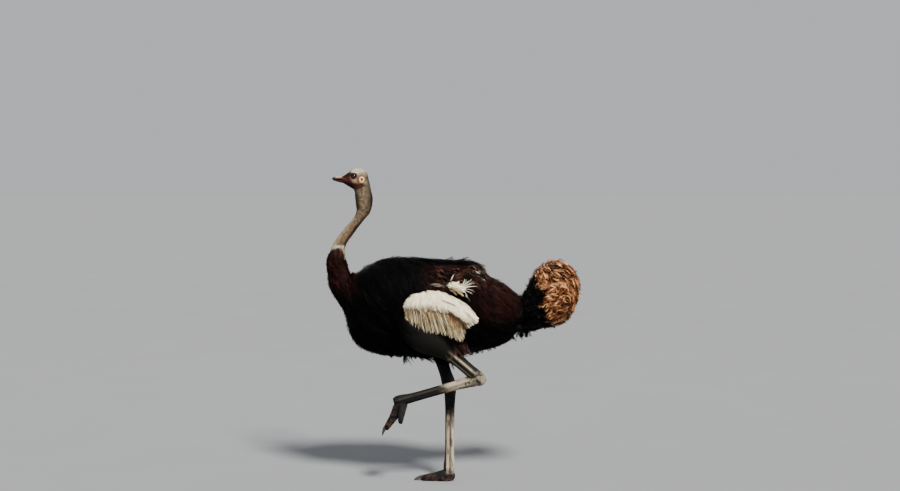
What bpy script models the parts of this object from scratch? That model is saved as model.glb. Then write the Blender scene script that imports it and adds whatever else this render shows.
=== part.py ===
"""Adult male ostrich, walking: it stands on its right leg and swings the left one forward.

Metres, +Z up. The bird faces -X and its left side is -Y. The origin is on the floor, under the
sole of the standing foot. Flesh is divided by thin cuts, and each part is one closed solid.
"""

import math

import bmesh
import bpy
import numpy as np
from mathutils import Matrix, Vector

# ---- driving dimensions ----
CUT = 0.0005            # width of the cut between two parts
TOE_JOINT_HEIGHT = 0.062
TOE_SPLAY = 27          # degrees that the small toe turns out from the big one
EYE_RADIUS = 0.0185
EYE = (-0.470, 0.0205, 1.787)
EAR = (-0.424, 0.0345, 1.769)
EAR_RADII = (0.0102, 0.0036)

# ---- pose of the legs: left is the raised one, right the standing one ----
# Tibia about 0.53 long, from knee to ankle, and tarsus 0.49, from ankle to the joint of the toes.
KNEE = {"l": Vector((-0.142, -0.172, 0.967)), "r": Vector((-0.092, 0.155, 1.040))}
ANKLE = {"l": Vector((0.253, -0.130, 0.623)), "r": Vector((0.086, 0.044, 0.551))}
TOE_JOINT = {"l": Vector((-0.218, -0.118, 0.488)), "r": Vector((0.083, -0.002, TOE_JOINT_HEIGHT))}
BIG_TOE_PITCH = {"l": 51, "r": 0}
SMALL_TOE_PITCH = {"l": 74, "r": 0}

# ---- the body's outline: (back x, back z, front x, front z, half width, squareness, widest) ----
# Each row is one section. Widest is above the middle where the last value is positive.
HEAD = [
    (-0.536, 1.789, -0.536, 1.749, 0.0205, 2.3, -0.20),
    (-0.505, 1.810, -0.512, 1.734, 0.0300, 2.3, -0.05),
    (-0.474, 1.831, -0.490, 1.721, 0.0360, 2.2, 0.08),
    (-0.438, 1.836, -0.476, 1.711, 0.0365, 2.1, 0.05),
    (-0.398, 1.813, -0.4705, 1.701, 0.0355, 2.0, 0.00),
    (-0.384, 1.776, -0.4685, 1.688, 0.0365, 2.0, 0.00),
]
NECK = [
    (-0.370, 1.715, -0.4665, 1.660, 0.0400, 2.0, 0.00),
    (-0.359, 1.654, -0.464, 1.630, 0.0430, 2.0, 0.00),
    (-0.372, 1.585, -0.461, 1.589, 0.0390, 2.0, 0.00),
    (-0.411, 1.532, -0.476, 1.550, 0.0340, 2.0, 0.00),
    (-0.473, 1.449, -0.529, 1.490, 0.0335, 2.0, 0.00),
    (-0.514, 1.383, -0.590, 1.410, 0.0390, 2.0, 0.00),
    (-0.517, 1.311, -0.628, 1.322, 0.0520, 2.0, 0.00),
    (-0.503, 1.257, -0.634, 1.240, 0.0640, 2.0, 0.00),
]
TRUNK = [
    (-0.479, 1.215, -0.610, 1.120, 0.0860, 2.0, 0.05),
    (-0.440, 1.254, -0.520, 0.985, 0.1350, 2.1, 0.10),
    (-0.380, 1.283, -0.462, 0.820, 0.1900, 2.1, 0.20),
    (-0.260, 1.319, -0.350, 0.762, 0.2280, 2.1, 0.30),
    (-0.110, 1.312, -0.140, 0.741, 0.2370, 2.1, 0.36),
    (0.060, 1.303, 0.060, 0.741, 0.2300, 2.1, 0.36),
    (0.215, 1.290, 0.215, 0.764, 0.2030, 2.1, 0.28),
    (0.300, 1.213, 0.305, 0.788, 0.1730, 2.0, 0.18),
    (0.400, 1.146, 0.405, 0.818, 0.1340, 2.0, 0.08),
]
TAIL = [
    (0.496, 1.092, 0.500, 0.858, 0.1050, 2.0, 0.00),
    (0.548, 1.145, 0.560, 0.884, 0.1200, 2.0, 0.00),
    (0.598, 1.250, 0.622, 0.902, 0.1460, 2.1, 0.00),
    (0.662, 1.296, 0.692, 0.915, 0.1600, 2.1, 0.00),
    (0.735, 1.293, 0.750, 0.935, 0.1520, 2.1, 0.00),
    (0.798, 1.255, 0.797, 0.995, 0.1200, 2.0, 0.00),
    (0.833, 1.190, 0.828, 1.060, 0.0620, 2.0, 0.00),
]
BODY = HEAD + NECK + TRUNK + TAIL
# Where the body is divided, counted in rows of BODY.
HEAD_END = len(HEAD) - 0.5
UPPER_NECK_END = len(HEAD) + 3.0
MIDDLE_NECK_END = len(HEAD) + 5.3
NECK_END = len(HEAD + NECK) + 0.2
TRUNK_END = len(HEAD + NECK + TRUNK) + 0.0
TAIL_END = len(BODY) - 1

# ---- bill: (x, upper z, lower z, half width, squareness, widest) ----
UPPER_BILL = [
    (-0.5985, 1.7765, 1.7735, 0.0060, 2.5, -0.1),
    (-0.5950, 1.7800, 1.7705, 0.0110, 2.5, -0.2),
    (-0.5800, 1.7855, 1.7690, 0.0150, 2.5, -0.3),
    (-0.5580, 1.7865, 1.7675, 0.0180, 2.5, -0.3),
    (-0.5363, 1.7885, 1.7655, 0.0210, 2.4, -0.2),
]
LOWER_BILL = [
    (-0.5935, 1.7690, 1.7665, 0.0060, 2.5, 0.2),
    (-0.5890, 1.7692, 1.7635, 0.0105, 2.5, 0.3),
    (-0.5750, 1.7682, 1.7590, 0.0145, 2.5, 0.3),
    (-0.5560, 1.7668, 1.7535, 0.0175, 2.5, 0.3),
    (-0.5363, 1.7648, 1.7490, 0.0205, 2.4, 0.2),
]

# ---- wings: (x at top, top z, x at bottom, bottom z, half thickness), about a plane off the side ----
WING_PLANE = 0.212
WING_UPPER = [
    (-0.186, 1.052, -0.184, 1.020, 0.020),
    (-0.172, 1.090, -0.168, 0.985, 0.048),
    (-0.128, 1.132, -0.130, 0.966, 0.068),
    (-0.054, 1.157, -0.058, 0.960, 0.080),
    (0.035, 1.140, 0.026, 0.955, 0.082),
    (0.115, 1.096, 0.104, 0.935, 0.076),
    (0.185, 1.040, 0.170, 0.920, 0.066),
    (0.232, 0.998, 0.215, 0.926, 0.048),
    (0.244, 0.976, 0.236, 0.950, 0.020),
]
WING_FRINGE_PLANE = 0.190
WING_FRINGE = [
    (-0.170, 0.990, -0.168, 0.950, 0.024),
    (-0.140, 1.010, -0.140, 0.922, 0.052),
    (-0.070, 1.020, -0.070, 0.905, 0.066),
    (0.020, 1.015, 0.020, 0.896, 0.072),
    (0.100, 0.990, 0.112, 0.880, 0.070),
    (0.152, 0.960, 0.172, 0.866, 0.054),
    (0.182, 0.925, 0.192, 0.878, 0.026),
]

# ---- legs: (share of the way down, reach in front, reach behind, half width) ----
DRUMSTICK = [
    (-0.12, 0.045, 0.040, 0.038),
    (-0.06, 0.080, 0.075, 0.066),
    (0.08, 0.112, 0.100, 0.086),
    (0.25, 0.113, 0.108, 0.090),
    (0.42, 0.084, 0.088, 0.075),
    (0.56, 0.046, 0.057, 0.052),
    (0.69, 0.034, 0.041, 0.040),
    (0.84, 0.033, 0.036, 0.033),
    (0.94, 0.039, 0.038, 0.035),
    (1.00, 0.042, 0.040, 0.0375),
    (1.05, 0.034, 0.033, 0.0320),
    (1.075, 0.018, 0.018, 0.0180),
]
THIGH_END = 5.3
METATARSUS = [
    (-0.055, 0.010, 0.010, 0.010),
    (-0.030, 0.026, 0.026, 0.024),
    (0.03, 0.035, 0.038, 0.034),
    (0.13, 0.031, 0.034, 0.029),
    (0.30, 0.027, 0.029, 0.023),
    (0.60, 0.026, 0.028, 0.021),
    (0.82, 0.027, 0.029, 0.024),
    (0.94, 0.034, 0.031, 0.030),
    (1.01, 0.033, 0.027, 0.028),
    (1.04, 0.024, 0.018, 0.019),
]

# ---- foot, from the joint of the toes: (forward, up, half width, upper reach, lower reach) ----
BIG_TOE = [
    (-0.034, -0.034, 0.014, 0.010, 0.012),
    (-0.024, -0.030, 0.024, 0.018, 0.028),
    (0.000, -0.022, 0.0315, 0.022, 0.060),
    (0.026, -0.018, 0.0335, 0.024, 0.076),
    (0.058, -0.027, 0.0320, 0.022, 0.056),
    (0.095, -0.036, 0.0290, 0.019, 0.039),
    (0.130, -0.041, 0.0270, 0.017, 0.032),
    (0.155, -0.044, 0.0210, 0.014, 0.026),
    (0.168, -0.047, 0.0110, 0.007, 0.012),
]
SMALL_TOE = [
    (0.000, -0.034, 0.0130, 0.012, 0.016),
    (0.014, -0.032, 0.0195, 0.018, 0.044),
    (0.050, -0.036, 0.0205, 0.016, 0.038),
    (0.085, -0.041, 0.0190, 0.013, 0.031),
    (0.108, -0.045, 0.0150, 0.010, 0.025),
    (0.118, -0.048, 0.0070, 0.005, 0.010),
]
CLAW = [
    (0.142, -0.0395, 0.0120, 0.0100, 0.0060),
    (0.168, -0.0400, 0.0115, 0.0085, 0.0110),
    (0.190, -0.0470, 0.0080, 0.0060, 0.0080),
    (0.207, -0.0565, 0.0030, 0.0025, 0.0035),
]
SMALL_TOE_ROOT = 0.018   # how far the small toe starts out from the big one's middle

parts = bpy.data.collections.new("ostrich")
cutters = bpy.data.collections.new("cutters")
materials = {}

COLOURS = {
    "skin": ((0.36, 0.29, 0.23), 0.75),
    "ear": ((0.62, 0.50, 0.38), 0.8),
    "bill": ((0.22, 0.10, 0.08), 0.45),
    "eye": ((0.02, 0.012, 0.008), 0.08),
    "neck": ((0.40, 0.33, 0.26), 0.85),
    "black_plumage": ((0.012, 0.009, 0.009), 0.8),
    "white_plumage": ((0.80, 0.74, 0.62), 0.85),
    "tail_plumage": ((0.34, 0.18, 0.10), 0.85),
    "leg": ((0.36, 0.31, 0.28), 0.65),
    "claw": ((0.05, 0.045, 0.04), 0.4),
}


def clear_scene():
    for obj in list(bpy.data.objects):
        bpy.data.objects.remove(obj)
    bpy.context.scene.collection.children.link(parts)
    bpy.context.scene.collection.children.link(cutters)


def make_materials():
    for name, (colour, roughness) in COLOURS.items():
        material = bpy.data.materials.new(name)
        material.use_nodes = True
        shader = material.node_tree.nodes["Principled BSDF"]
        shader.inputs["Base Color"].default_value = (*colour, 1)
        shader.inputs["Roughness"].default_value = roughness
        shader.inputs["Metallic"].default_value = 0
        materials[name] = material


def row_at(rows, place):
    """The values at a place counted in rows, on a smooth curve through all the rows."""
    table = np.array(rows, float)
    k = min(int(place), len(table) - 2)
    t = place - k
    before = table[max(k - 1, 0)]
    a, b = table[k], table[k + 1]
    after = table[min(k + 2, len(table) - 1)]
    leave, arrive = (b - before) / 2, (after - a) / 2
    return (
        a * (2 * t**3 - 3 * t**2 + 1)
        + leave * (t**3 - 2 * t**2 + t)
        + b * (3 * t**2 - 2 * t**3)
        + arrive * (t**3 - t**2)
    )


def oval(centre, up, side, sides, squareness=2.0, widest=0.0):
    """A closed ring of points about a centre: up and side are its half axes."""
    ring = []
    for i in range(sides):
        angle = 2 * math.pi * i / sides
        c, s = math.cos(angle), math.sin(angle)
        c = math.copysign(abs(c) ** (2 / squareness), c)
        s = math.copysign(abs(s) ** (2 / squareness), s)
        ring.append(centre + up * c + side * (s * (1 + widest * c)))
    return ring


def loft(name, rings, material):
    """A closed solid through the rings, with a flat cap at each end."""
    build = bmesh.new()
    loops = [[build.verts.new(p) for p in ring] for ring in rings]
    sides = len(rings[0])
    for a, b in zip(loops, loops[1:]):
        for i in range(sides):
            j = (i + 1) % sides
            build.faces.new((a[i], a[j], b[j], b[i]))
    build.faces.new(loops[0])
    build.faces.new(loops[-1])
    bmesh.ops.triangulate(build, faces=build.faces)
    bmesh.ops.recalc_face_normals(build, faces=build.faces)
    if build.calc_volume(signed=True) < 0:
        bmesh.ops.reverse_faces(build, faces=build.faces)
    return to_object(name, build, material)


def to_object(name, build, material):
    mesh = bpy.data.meshes.new(name)
    build.to_mesh(mesh)
    build.free()
    mesh.materials.append(materials[material])
    mesh.shade_smooth()
    mesh.set_sharp_from_angle(angle=math.radians(50))
    obj = bpy.data.objects.new(name, mesh)
    parts.objects.link(obj)
    return obj


def shifted(ring, distance):
    """The ring moved along its own normal."""
    centre = sum(ring, Vector()) / len(ring)
    third = len(ring) // 3
    normal = (ring[0] - centre).cross(ring[third] - centre).normalized()
    return [p + normal * distance for p in ring]


def with_cuts(rings, cut_start, cut_end):
    """Draws the end rings in by half a cut, towards the rest of the part."""
    for at, inner, wanted in ((0, 1, cut_start), (-1, -2, cut_end)):
        if not wanted:
            continue
        middle = sum(rings[at], Vector()) / len(rings[at])
        towards = sum(rings[inner], Vector()) / len(rings[inner]) - middle
        moved = shifted(rings[at], CUT / 2)
        if (sum(moved, Vector()) / len(moved) - middle).dot(towards) < 0:
            moved = shifted(rings[at], -CUT / 2)
        rings[at] = moved
    return rings


def body_ring(place, sides):
    back_x, back_z, front_x, front_z, half_width, squareness, widest = row_at(BODY, place)
    back, front = Vector((back_x, 0, back_z)), Vector((front_x, 0, front_z))
    side = Vector((0, half_width, 0))
    return oval((back + front) / 2, (back - front) / 2, side, sides, squareness, widest)


def body_part(name, start, end, count, sides, material):
    places = [start + (end - start) * i / count for i in range(count + 1)]
    rings = [body_ring(p, sides) for p in places]
    rings = with_cuts(rings, True, end < TAIL_END)
    return loft(name, rings, material)


def bill_part(name, rows, material, count=7, sides=12):
    rings = []
    for i in range(count + 1):
        x, top, bottom, half_width, squareness, widest = row_at(rows, i * (len(rows) - 1) / count)
        up = Vector((0, 0, (top - bottom) / 2))
        centre = Vector((x, 0, (top + bottom) / 2))
        rings.append(oval(centre, up, Vector((0, half_width, 0)), sides, squareness, widest))
    return loft(name, rings, material)


def wing_part(name, rows, plane, side, material, count, sides):
    rings = []
    for i in range(count + 1):
        top_x, top_z, low_x, low_z, thick = row_at(rows, i * (len(rows) - 1) / count)
        top, low = Vector((top_x, side * plane, top_z)), Vector((low_x, side * plane, low_z))
        rings.append(oval((top + low) / 2, (top - low) / 2, Vector((0, thick, 0)), sides, 2.2))
    return loft(name, rings, material)


def leg_rings(rows, start, end, first, last, count, sides):
    """Rings of a leg's segment between two joints, from one place in its rows to another."""
    along = end - start
    downward = along.normalized()
    across = Vector((0, 1, 0))
    across = (across - downward * across.dot(downward)).normalized()
    forward = across.cross(downward)
    rings = []
    for i in range(count + 1):
        share, front, behind, half_width = row_at(rows, first + (last - first) * i / count)
        centre = start + along * share + forward * ((front - behind) / 2)
        rings.append(oval(centre, forward * ((front + behind) / 2), across * half_width, sides))
    return rings


def toe_part(name, rows, place, material, count, sides):
    """A toe or claw built along the ground, flat below, then put in place by a matrix."""
    floor = -TOE_JOINT_HEIGHT
    rings = []
    for i in range(count + 1):
        forward, up, half_width, above, below = row_at(rows, i * (len(rows) - 1) / count)
        centre = Vector((-forward, 0, up + (above - below) / 2))
        ring = oval(centre, Vector((0, 0, (above + below) / 2)), Vector((0, half_width, 0)), sides, 2.3)
        rings.append([place @ Vector((p.x, p.y, max(p.z, floor))) for p in ring])
    return loft(name, rings, material)


def grown(obj):
    """A cutter: a copy of the object's own mesh, larger all round by the width of a cut."""
    mesh = obj.data.copy()
    build = bmesh.new()
    build.from_mesh(mesh)
    build.normal_update()
    for vertex in build.verts:
        vertex.co += vertex.normal * CUT * vertex.calc_shell_factor()
    build.to_mesh(mesh)
    build.free()
    cutter = bpy.data.objects.new(obj.name + "_cutter", mesh)
    cutter.matrix_world = obj.matrix_world
    cutter.hide_render = True
    cutter.display_type = "WIRE"
    cutters.objects.link(cutter)
    return cutter


def cut(obj, *cutting):
    for cutter in cutting:
        modifier = obj.modifiers.new(cutter.name, "BOOLEAN")
        modifier.operation = "DIFFERENCE"
        modifier.solver = "EXACT"
        modifier.object = cutter


def make_head(sign_of):
    head = body_part("head", 0, HEAD_END, 12, 18, "skin")
    for side, sign in sign_of.items():
        bpy.ops.mesh.primitive_uv_sphere_add(
            segments=12, ring_count=7, radius=EYE_RADIUS,
            location=(EYE[0], sign * EYE[1], EYE[2]), rotation=(math.pi / 2, 0, 0),
        )
        eye = adopt(bpy.context.object, "eye_" + side, "eye")
        bpy.ops.mesh.primitive_torus_add(
            major_segments=14, minor_segments=5,
            major_radius=EAR_RADII[0], minor_radius=EAR_RADII[1],
            location=(EAR[0], sign * EAR[1], EAR[2]), rotation=(math.pi / 2, 0, 0),
        )
        ear = adopt(bpy.context.object, "ear_" + side, "ear")
        cut(head, grown(eye), grown(ear))
    bill_part("bill_upper", UPPER_BILL, "bill")
    bill_part("bill_lower", LOWER_BILL, "bill")


def adopt(obj, name, material):
    """Takes a primitive into the part, under a name and with a material."""
    obj.name = obj.data.name = name
    obj.data.materials.append(materials[material])
    obj.data.shade_smooth()
    for collection in list(obj.users_collection):
        collection.objects.unlink(obj)
    parts.objects.link(obj)
    bpy.context.view_layer.update()
    return obj


def make_body():
    body_part("neck_upper", HEAD_END, UPPER_NECK_END, 9, 18, "neck")
    body_part("neck_middle", UPPER_NECK_END, MIDDLE_NECK_END, 7, 18, "neck")
    body_part("neck_lower", MIDDLE_NECK_END, NECK_END, 7, 22, "black_plumage")
    trunk = body_part("trunk", NECK_END, TRUNK_END, 19, 22, "black_plumage")
    body_part("tail", TRUNK_END, TAIL_END, 11, 20, "tail_plumage")
    return trunk


def make_wing(side, sign, trunk_cutter):
    upper = wing_part(
        "wing_" + side, WING_UPPER, WING_PLANE, sign, "white_plumage", 12, 18)
    fringe = wing_part(
        "wing_fringe_" + side, WING_FRINGE, WING_FRINGE_PLANE, sign, "white_plumage", 11, 16)
    cutting = grown(upper), grown(fringe)
    cut(upper, trunk_cutter)
    cut(fringe, cutting[0], trunk_cutter)
    return cutting


def make_leg(side, sign, body_cutters):
    knee, ankle, toe_joint = KNEE[side], ANKLE[side], TOE_JOINT[side]
    rings = leg_rings(DRUMSTICK, knee, ankle, 0, THIGH_END, 9, 18)
    thigh = loft("thigh_" + side, with_cuts(rings, False, True), "leg")
    cut(thigh, *body_cutters)
    rings = leg_rings(DRUMSTICK, knee, ankle, THIGH_END, len(DRUMSTICK) - 1, 10, 14)
    shank = loft("shank_" + side, with_cuts(rings, True, False), "leg")
    cut(shank, body_cutters[0])
    rings = leg_rings(METATARSUS, ankle, toe_joint, 0, len(METATARSUS) - 1, 12, 14)
    tarsus = loft("tarsus_" + side, rings, "leg")

    foot = Matrix.Translation(toe_joint)
    big_place = foot @ Matrix.Rotation(math.radians(-BIG_TOE_PITCH[side]), 4, "Y")
    small_place = (
        foot
        @ Matrix.Rotation(math.radians(-SMALL_TOE_PITCH[side]), 4, "Y")
        @ Matrix.Translation((0, sign * SMALL_TOE_ROOT, 0))
        @ Matrix.Rotation(math.radians(-sign * TOE_SPLAY), 4, "Z")
    )
    claw = toe_part("claw_" + side, CLAW, big_place, "claw", 6, 10)
    big = toe_part("toe_big_" + side, BIG_TOE, big_place, "leg", 11, 12)
    small = toe_part("toe_small_" + side, SMALL_TOE, small_place, "leg", 8, 10)

    tarsus_cutter, big_cutter = grown(tarsus), grown(big)
    cut(tarsus, grown(shank))
    cut(big, tarsus_cutter, grown(claw))
    cut(small, tarsus_cutter, big_cutter)


def main():
    clear_scene()
    make_materials()
    sign_of = {"l": -1, "r": 1}
    make_head(sign_of)
    trunk_cutter = grown(make_body())
    for side, sign in sign_of.items():
        wing_cutters = make_wing(side, sign, trunk_cutter)
        make_leg(side, sign, (trunk_cutter, *wing_cutters))


main()
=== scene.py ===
"""Looks of a life-size, still model of an adult male ostrich, walking.

Metres, +Z up. The bird faces -X, its left side is -Y, and it stands on its right foot. One skin
replaces the flesh of the CAD model and lies inside it by the depth of the coat. All feathers are
thin mesh blades, joined into a few coat pieces. The rows below are the CAD model's own sections,
but for the closed bill and the rear of the wing's upper edge, which is a little higher here.
"""

import itertools
import math

import bmesh
import bpy
import numpy as np
from mathutils import Matrix, Vector
from mathutils.bvhtree import BVHTree
from mathutils.kdtree import KDTree


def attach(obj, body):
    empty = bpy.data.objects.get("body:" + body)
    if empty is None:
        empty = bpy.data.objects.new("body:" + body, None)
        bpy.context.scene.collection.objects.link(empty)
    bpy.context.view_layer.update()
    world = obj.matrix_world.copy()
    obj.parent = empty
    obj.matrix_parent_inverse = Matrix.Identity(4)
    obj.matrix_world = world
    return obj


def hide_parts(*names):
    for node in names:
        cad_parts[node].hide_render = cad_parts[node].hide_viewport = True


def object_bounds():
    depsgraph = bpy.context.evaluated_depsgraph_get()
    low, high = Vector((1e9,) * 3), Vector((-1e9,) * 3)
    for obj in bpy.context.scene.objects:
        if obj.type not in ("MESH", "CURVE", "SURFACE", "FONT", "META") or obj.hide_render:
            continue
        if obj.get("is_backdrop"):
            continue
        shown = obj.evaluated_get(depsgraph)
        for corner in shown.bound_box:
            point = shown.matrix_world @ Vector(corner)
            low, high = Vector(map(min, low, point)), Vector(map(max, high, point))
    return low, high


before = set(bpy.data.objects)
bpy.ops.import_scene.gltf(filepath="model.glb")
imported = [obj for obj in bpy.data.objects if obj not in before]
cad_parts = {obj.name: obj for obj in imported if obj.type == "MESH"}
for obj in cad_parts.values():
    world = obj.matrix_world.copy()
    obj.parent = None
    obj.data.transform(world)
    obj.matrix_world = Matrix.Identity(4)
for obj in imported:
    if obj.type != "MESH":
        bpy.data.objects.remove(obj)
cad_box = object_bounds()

# ---- the body's sections: (back x, back z, front x, front z, half width, squareness, widest) ----
HEAD = [
    (-0.536, 1.789, -0.536, 1.749, 0.0205, 2.3, -0.20),
    (-0.505, 1.810, -0.512, 1.734, 0.0300, 2.3, -0.05),
    (-0.474, 1.831, -0.490, 1.721, 0.0360, 2.2, 0.08),
    (-0.438, 1.836, -0.476, 1.711, 0.0365, 2.1, 0.05),
    (-0.398, 1.813, -0.4705, 1.701, 0.0355, 2.0, 0.00),
    (-0.384, 1.776, -0.4685, 1.688, 0.0365, 2.0, 0.00),
]
NECK = [
    (-0.370, 1.715, -0.4665, 1.660, 0.0400, 2.0, 0.00),
    (-0.359, 1.654, -0.464, 1.630, 0.0430, 2.0, 0.00),
    (-0.372, 1.585, -0.461, 1.589, 0.0390, 2.0, 0.00),
    (-0.411, 1.532, -0.476, 1.550, 0.0340, 2.0, 0.00),
    (-0.473, 1.449, -0.529, 1.490, 0.0335, 2.0, 0.00),
    (-0.514, 1.383, -0.590, 1.410, 0.0390, 2.0, 0.00),
    (-0.517, 1.311, -0.628, 1.322, 0.0520, 2.0, 0.00),
    (-0.503, 1.257, -0.634, 1.240, 0.0640, 2.0, 0.00),
]
TRUNK = [
    (-0.479, 1.215, -0.610, 1.120, 0.0860, 2.0, 0.05),
    (-0.440, 1.254, -0.520, 0.985, 0.1350, 2.1, 0.10),
    (-0.380, 1.283, -0.462, 0.820, 0.1900, 2.1, 0.20),
    (-0.260, 1.319, -0.350, 0.762, 0.2280, 2.1, 0.30),
    (-0.110, 1.312, -0.140, 0.741, 0.2370, 2.1, 0.36),
    (0.060, 1.303, 0.060, 0.741, 0.2300, 2.1, 0.36),
    (0.215, 1.290, 0.215, 0.764, 0.2030, 2.1, 0.28),
    (0.300, 1.213, 0.305, 0.788, 0.1730, 2.0, 0.18),
    (0.400, 1.146, 0.405, 0.834, 0.1340, 2.0, 0.08),
]
STUMP = [
    (0.470, 1.085, 0.470, 0.905, 0.0850, 2.0, 0.00),
    (0.535, 1.060, 0.540, 0.950, 0.0600, 2.0, 0.00),
    (0.600, 1.045, 0.603, 0.985, 0.0350, 2.0, 0.00),
    (0.625, 1.030, 0.627, 1.000, 0.0180, 2.0, 0.00),
]
BODY = HEAD + NECK + TRUNK + STUMP
TAIL = [                # (back x, back z, front x, front z, half width)
    (0.496, 1.092, 0.500, 0.858, 0.1050),
    (0.548, 1.145, 0.560, 0.884, 0.1200),
    (0.598, 1.250, 0.622, 0.902, 0.1460),
    (0.662, 1.296, 0.692, 0.915, 0.1600),
    (0.735, 1.293, 0.750, 0.935, 0.1520),
    (0.798, 1.255, 0.797, 0.995, 0.1200),
    (0.833, 1.190, 0.828, 1.060, 0.0620),
]
DOME_HEIGHT, DOME_SHARES = 0.008, (0.85, 0.7, 0.55, 0.4, 0.25, 0.1)
NECK_START, TRUNK_START = len(HEAD), len(HEAD + NECK)
# Depth of the coat over the skin, and the spacing of the skin's rows: (place in rows, metres).
COAT_DEPTH = [(0, .0012), (4, .0025), (6, .004), (9, .006), (11, .010), (13, .018),
              (15, .027), (21, .028), (23, 0), (26, 0)]
ROW_SPACING = [(0, .0013), (5, .0018), (8, .0042), (13, .006), (16, .012), (26, .014)]
BODY_SIDES = 168
# Where the coats begin and end, as places in the body's rows.
HEAD_DOWN = (0.5, NECK_START + 0.4)
NECK_DOWN = (5.2, NECK_START + 6.6)
PLUMES_FROM = NECK_START + 5.6

# ---- bill: (x, upper z, lower z, half width, squareness, widest) ----
UPPER_BILL = [
    (-0.5985, 1.7765, 1.7735, 0.0060, 2.5, -0.1),
    (-0.5950, 1.7800, 1.7705, 0.0110, 2.5, -0.2),
    (-0.5800, 1.7855, 1.7690, 0.0150, 2.5, -0.3),
    (-0.5580, 1.7865, 1.7675, 0.0180, 2.5, -0.3),
    (-0.5363, 1.7882, 1.7655, 0.0203, 2.3, -0.2),
    (-0.5290, 1.7868, 1.7665, 0.0188, 2.2, -0.2),
]
LOWER_BILL = [
    (-0.5935, 1.7704, 1.7668, 0.0060, 2.5, 0.2),
    (-0.5890, 1.7706, 1.7635, 0.0105, 2.5, 0.3),
    (-0.5750, 1.7696, 1.7590, 0.0145, 2.5, 0.3),
    (-0.5560, 1.7682, 1.7535, 0.0175, 2.5, 0.3),
    (-0.5363, 1.7664, 1.7496, 0.0198, 2.3, 0.2),
    (-0.5290, 1.7656, 1.7505, 0.0182, 2.2, 0.2),
]
GAPE = [(-0.540, 1.7655), (-0.508, 1.7595), (-0.484, 1.7530)]       # x and z
NOSTRIL, NOSTRIL_SIZE = (-0.560, 1.7805), (0.0085, 0.0016)

# ---- eyes, ears ----
EYE = np.array((-0.470, 0.0205, 1.787))
EYE_RADIUS = 0.0183
EYE_OPENING = (0.0128, 0.0102)
EAR = np.array((-0.424, 0.0345, 1.769))
EAR_RADIUS, EAR_ROLL = 0.0100, 0.0032

# ---- wings: (x at top, top z, x at bottom, bottom z, half thickness) ----
WING_PLANE = 0.212
WING_UPPER = [
    (-0.186, 1.052, -0.184, 1.020, 0.020),
    (-0.172, 1.090, -0.168, 0.985, 0.048),
    (-0.128, 1.132, -0.130, 0.966, 0.068),
    (-0.054, 1.157, -0.058, 0.960, 0.080),
    (0.035, 1.146, 0.026, 0.955, 0.082),
    (0.115, 1.108, 0.104, 0.935, 0.076),
    (0.186, 1.064, 0.170, 0.920, 0.066),
    (0.232, 1.009, 0.215, 0.926, 0.048),
    (0.245, 0.979, 0.236, 0.950, 0.020),
]
WING_FRINGE_PLANE = 0.190
WING_FRINGE = [
    (-0.170, 0.990, -0.168, 0.950, 0.024),
    (-0.140, 1.010, -0.140, 0.922, 0.052),
    (-0.070, 1.020, -0.070, 0.905, 0.066),
    (0.020, 1.015, 0.020, 0.896, 0.072),
    (0.100, 0.990, 0.112, 0.880, 0.070),
    (0.152, 0.960, 0.172, 0.866, 0.054),
    (0.182, 0.925, 0.192, 0.878, 0.026),
]
WING_COAT = 0.030

# ---- legs ----
KNEE = {"l": (-0.142, -0.172, 0.967), "r": (-0.092, 0.155, 1.040)}
ANKLE = {"l": (0.253, -0.130, 0.623), "r": (0.086, 0.044, 0.551)}
TARSUS_LENGTH = 0.49
TOE_JOINT_HEIGHT = 0.062
TOE_JOINT = {"l": (-0.218, -0.118, 0.488), "r": (0.083, -0.002, TOE_JOINT_HEIGHT)}
BIG_TOE_PITCH = {"l": 51, "r": 0}
SMALL_TOE_PITCH = {"l": 74, "r": 0}
TOE_SPLAY = 27
SMALL_TOE_ROOT = 0.018
# (share of the way down, reach in front, reach behind, half width)
DRUMSTICK = [
    (-0.12, 0.045, 0.040, 0.038),
    (-0.06, 0.080, 0.075, 0.066),
    (0.08, 0.112, 0.100, 0.086),
    (0.25, 0.113, 0.108, 0.090),
    (0.42, 0.084, 0.088, 0.075),
    (0.56, 0.046, 0.057, 0.052),
    (0.69, 0.034, 0.041, 0.040),
    (0.84, 0.033, 0.036, 0.033),
    (0.94, 0.039, 0.038, 0.035),
    (1.00, 0.042, 0.040, 0.0375),
    (1.05, 0.034, 0.033, 0.0320),
    (1.075, 0.018, 0.018, 0.0180),
]
METATARSUS = [
    (-0.055, 0.010, 0.010, 0.010),
    (-0.030, 0.026, 0.026, 0.024),
    (0.03, 0.035, 0.038, 0.034),
    (0.13, 0.031, 0.034, 0.029),
    (0.30, 0.027, 0.029, 0.023),
    (0.60, 0.026, 0.028, 0.021),
    (0.82, 0.027, 0.029, 0.024),
    (0.94, 0.034, 0.031, 0.030),
    (1.01, 0.033, 0.027, 0.028),
    (1.04, 0.024, 0.018, 0.019),
]
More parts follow.
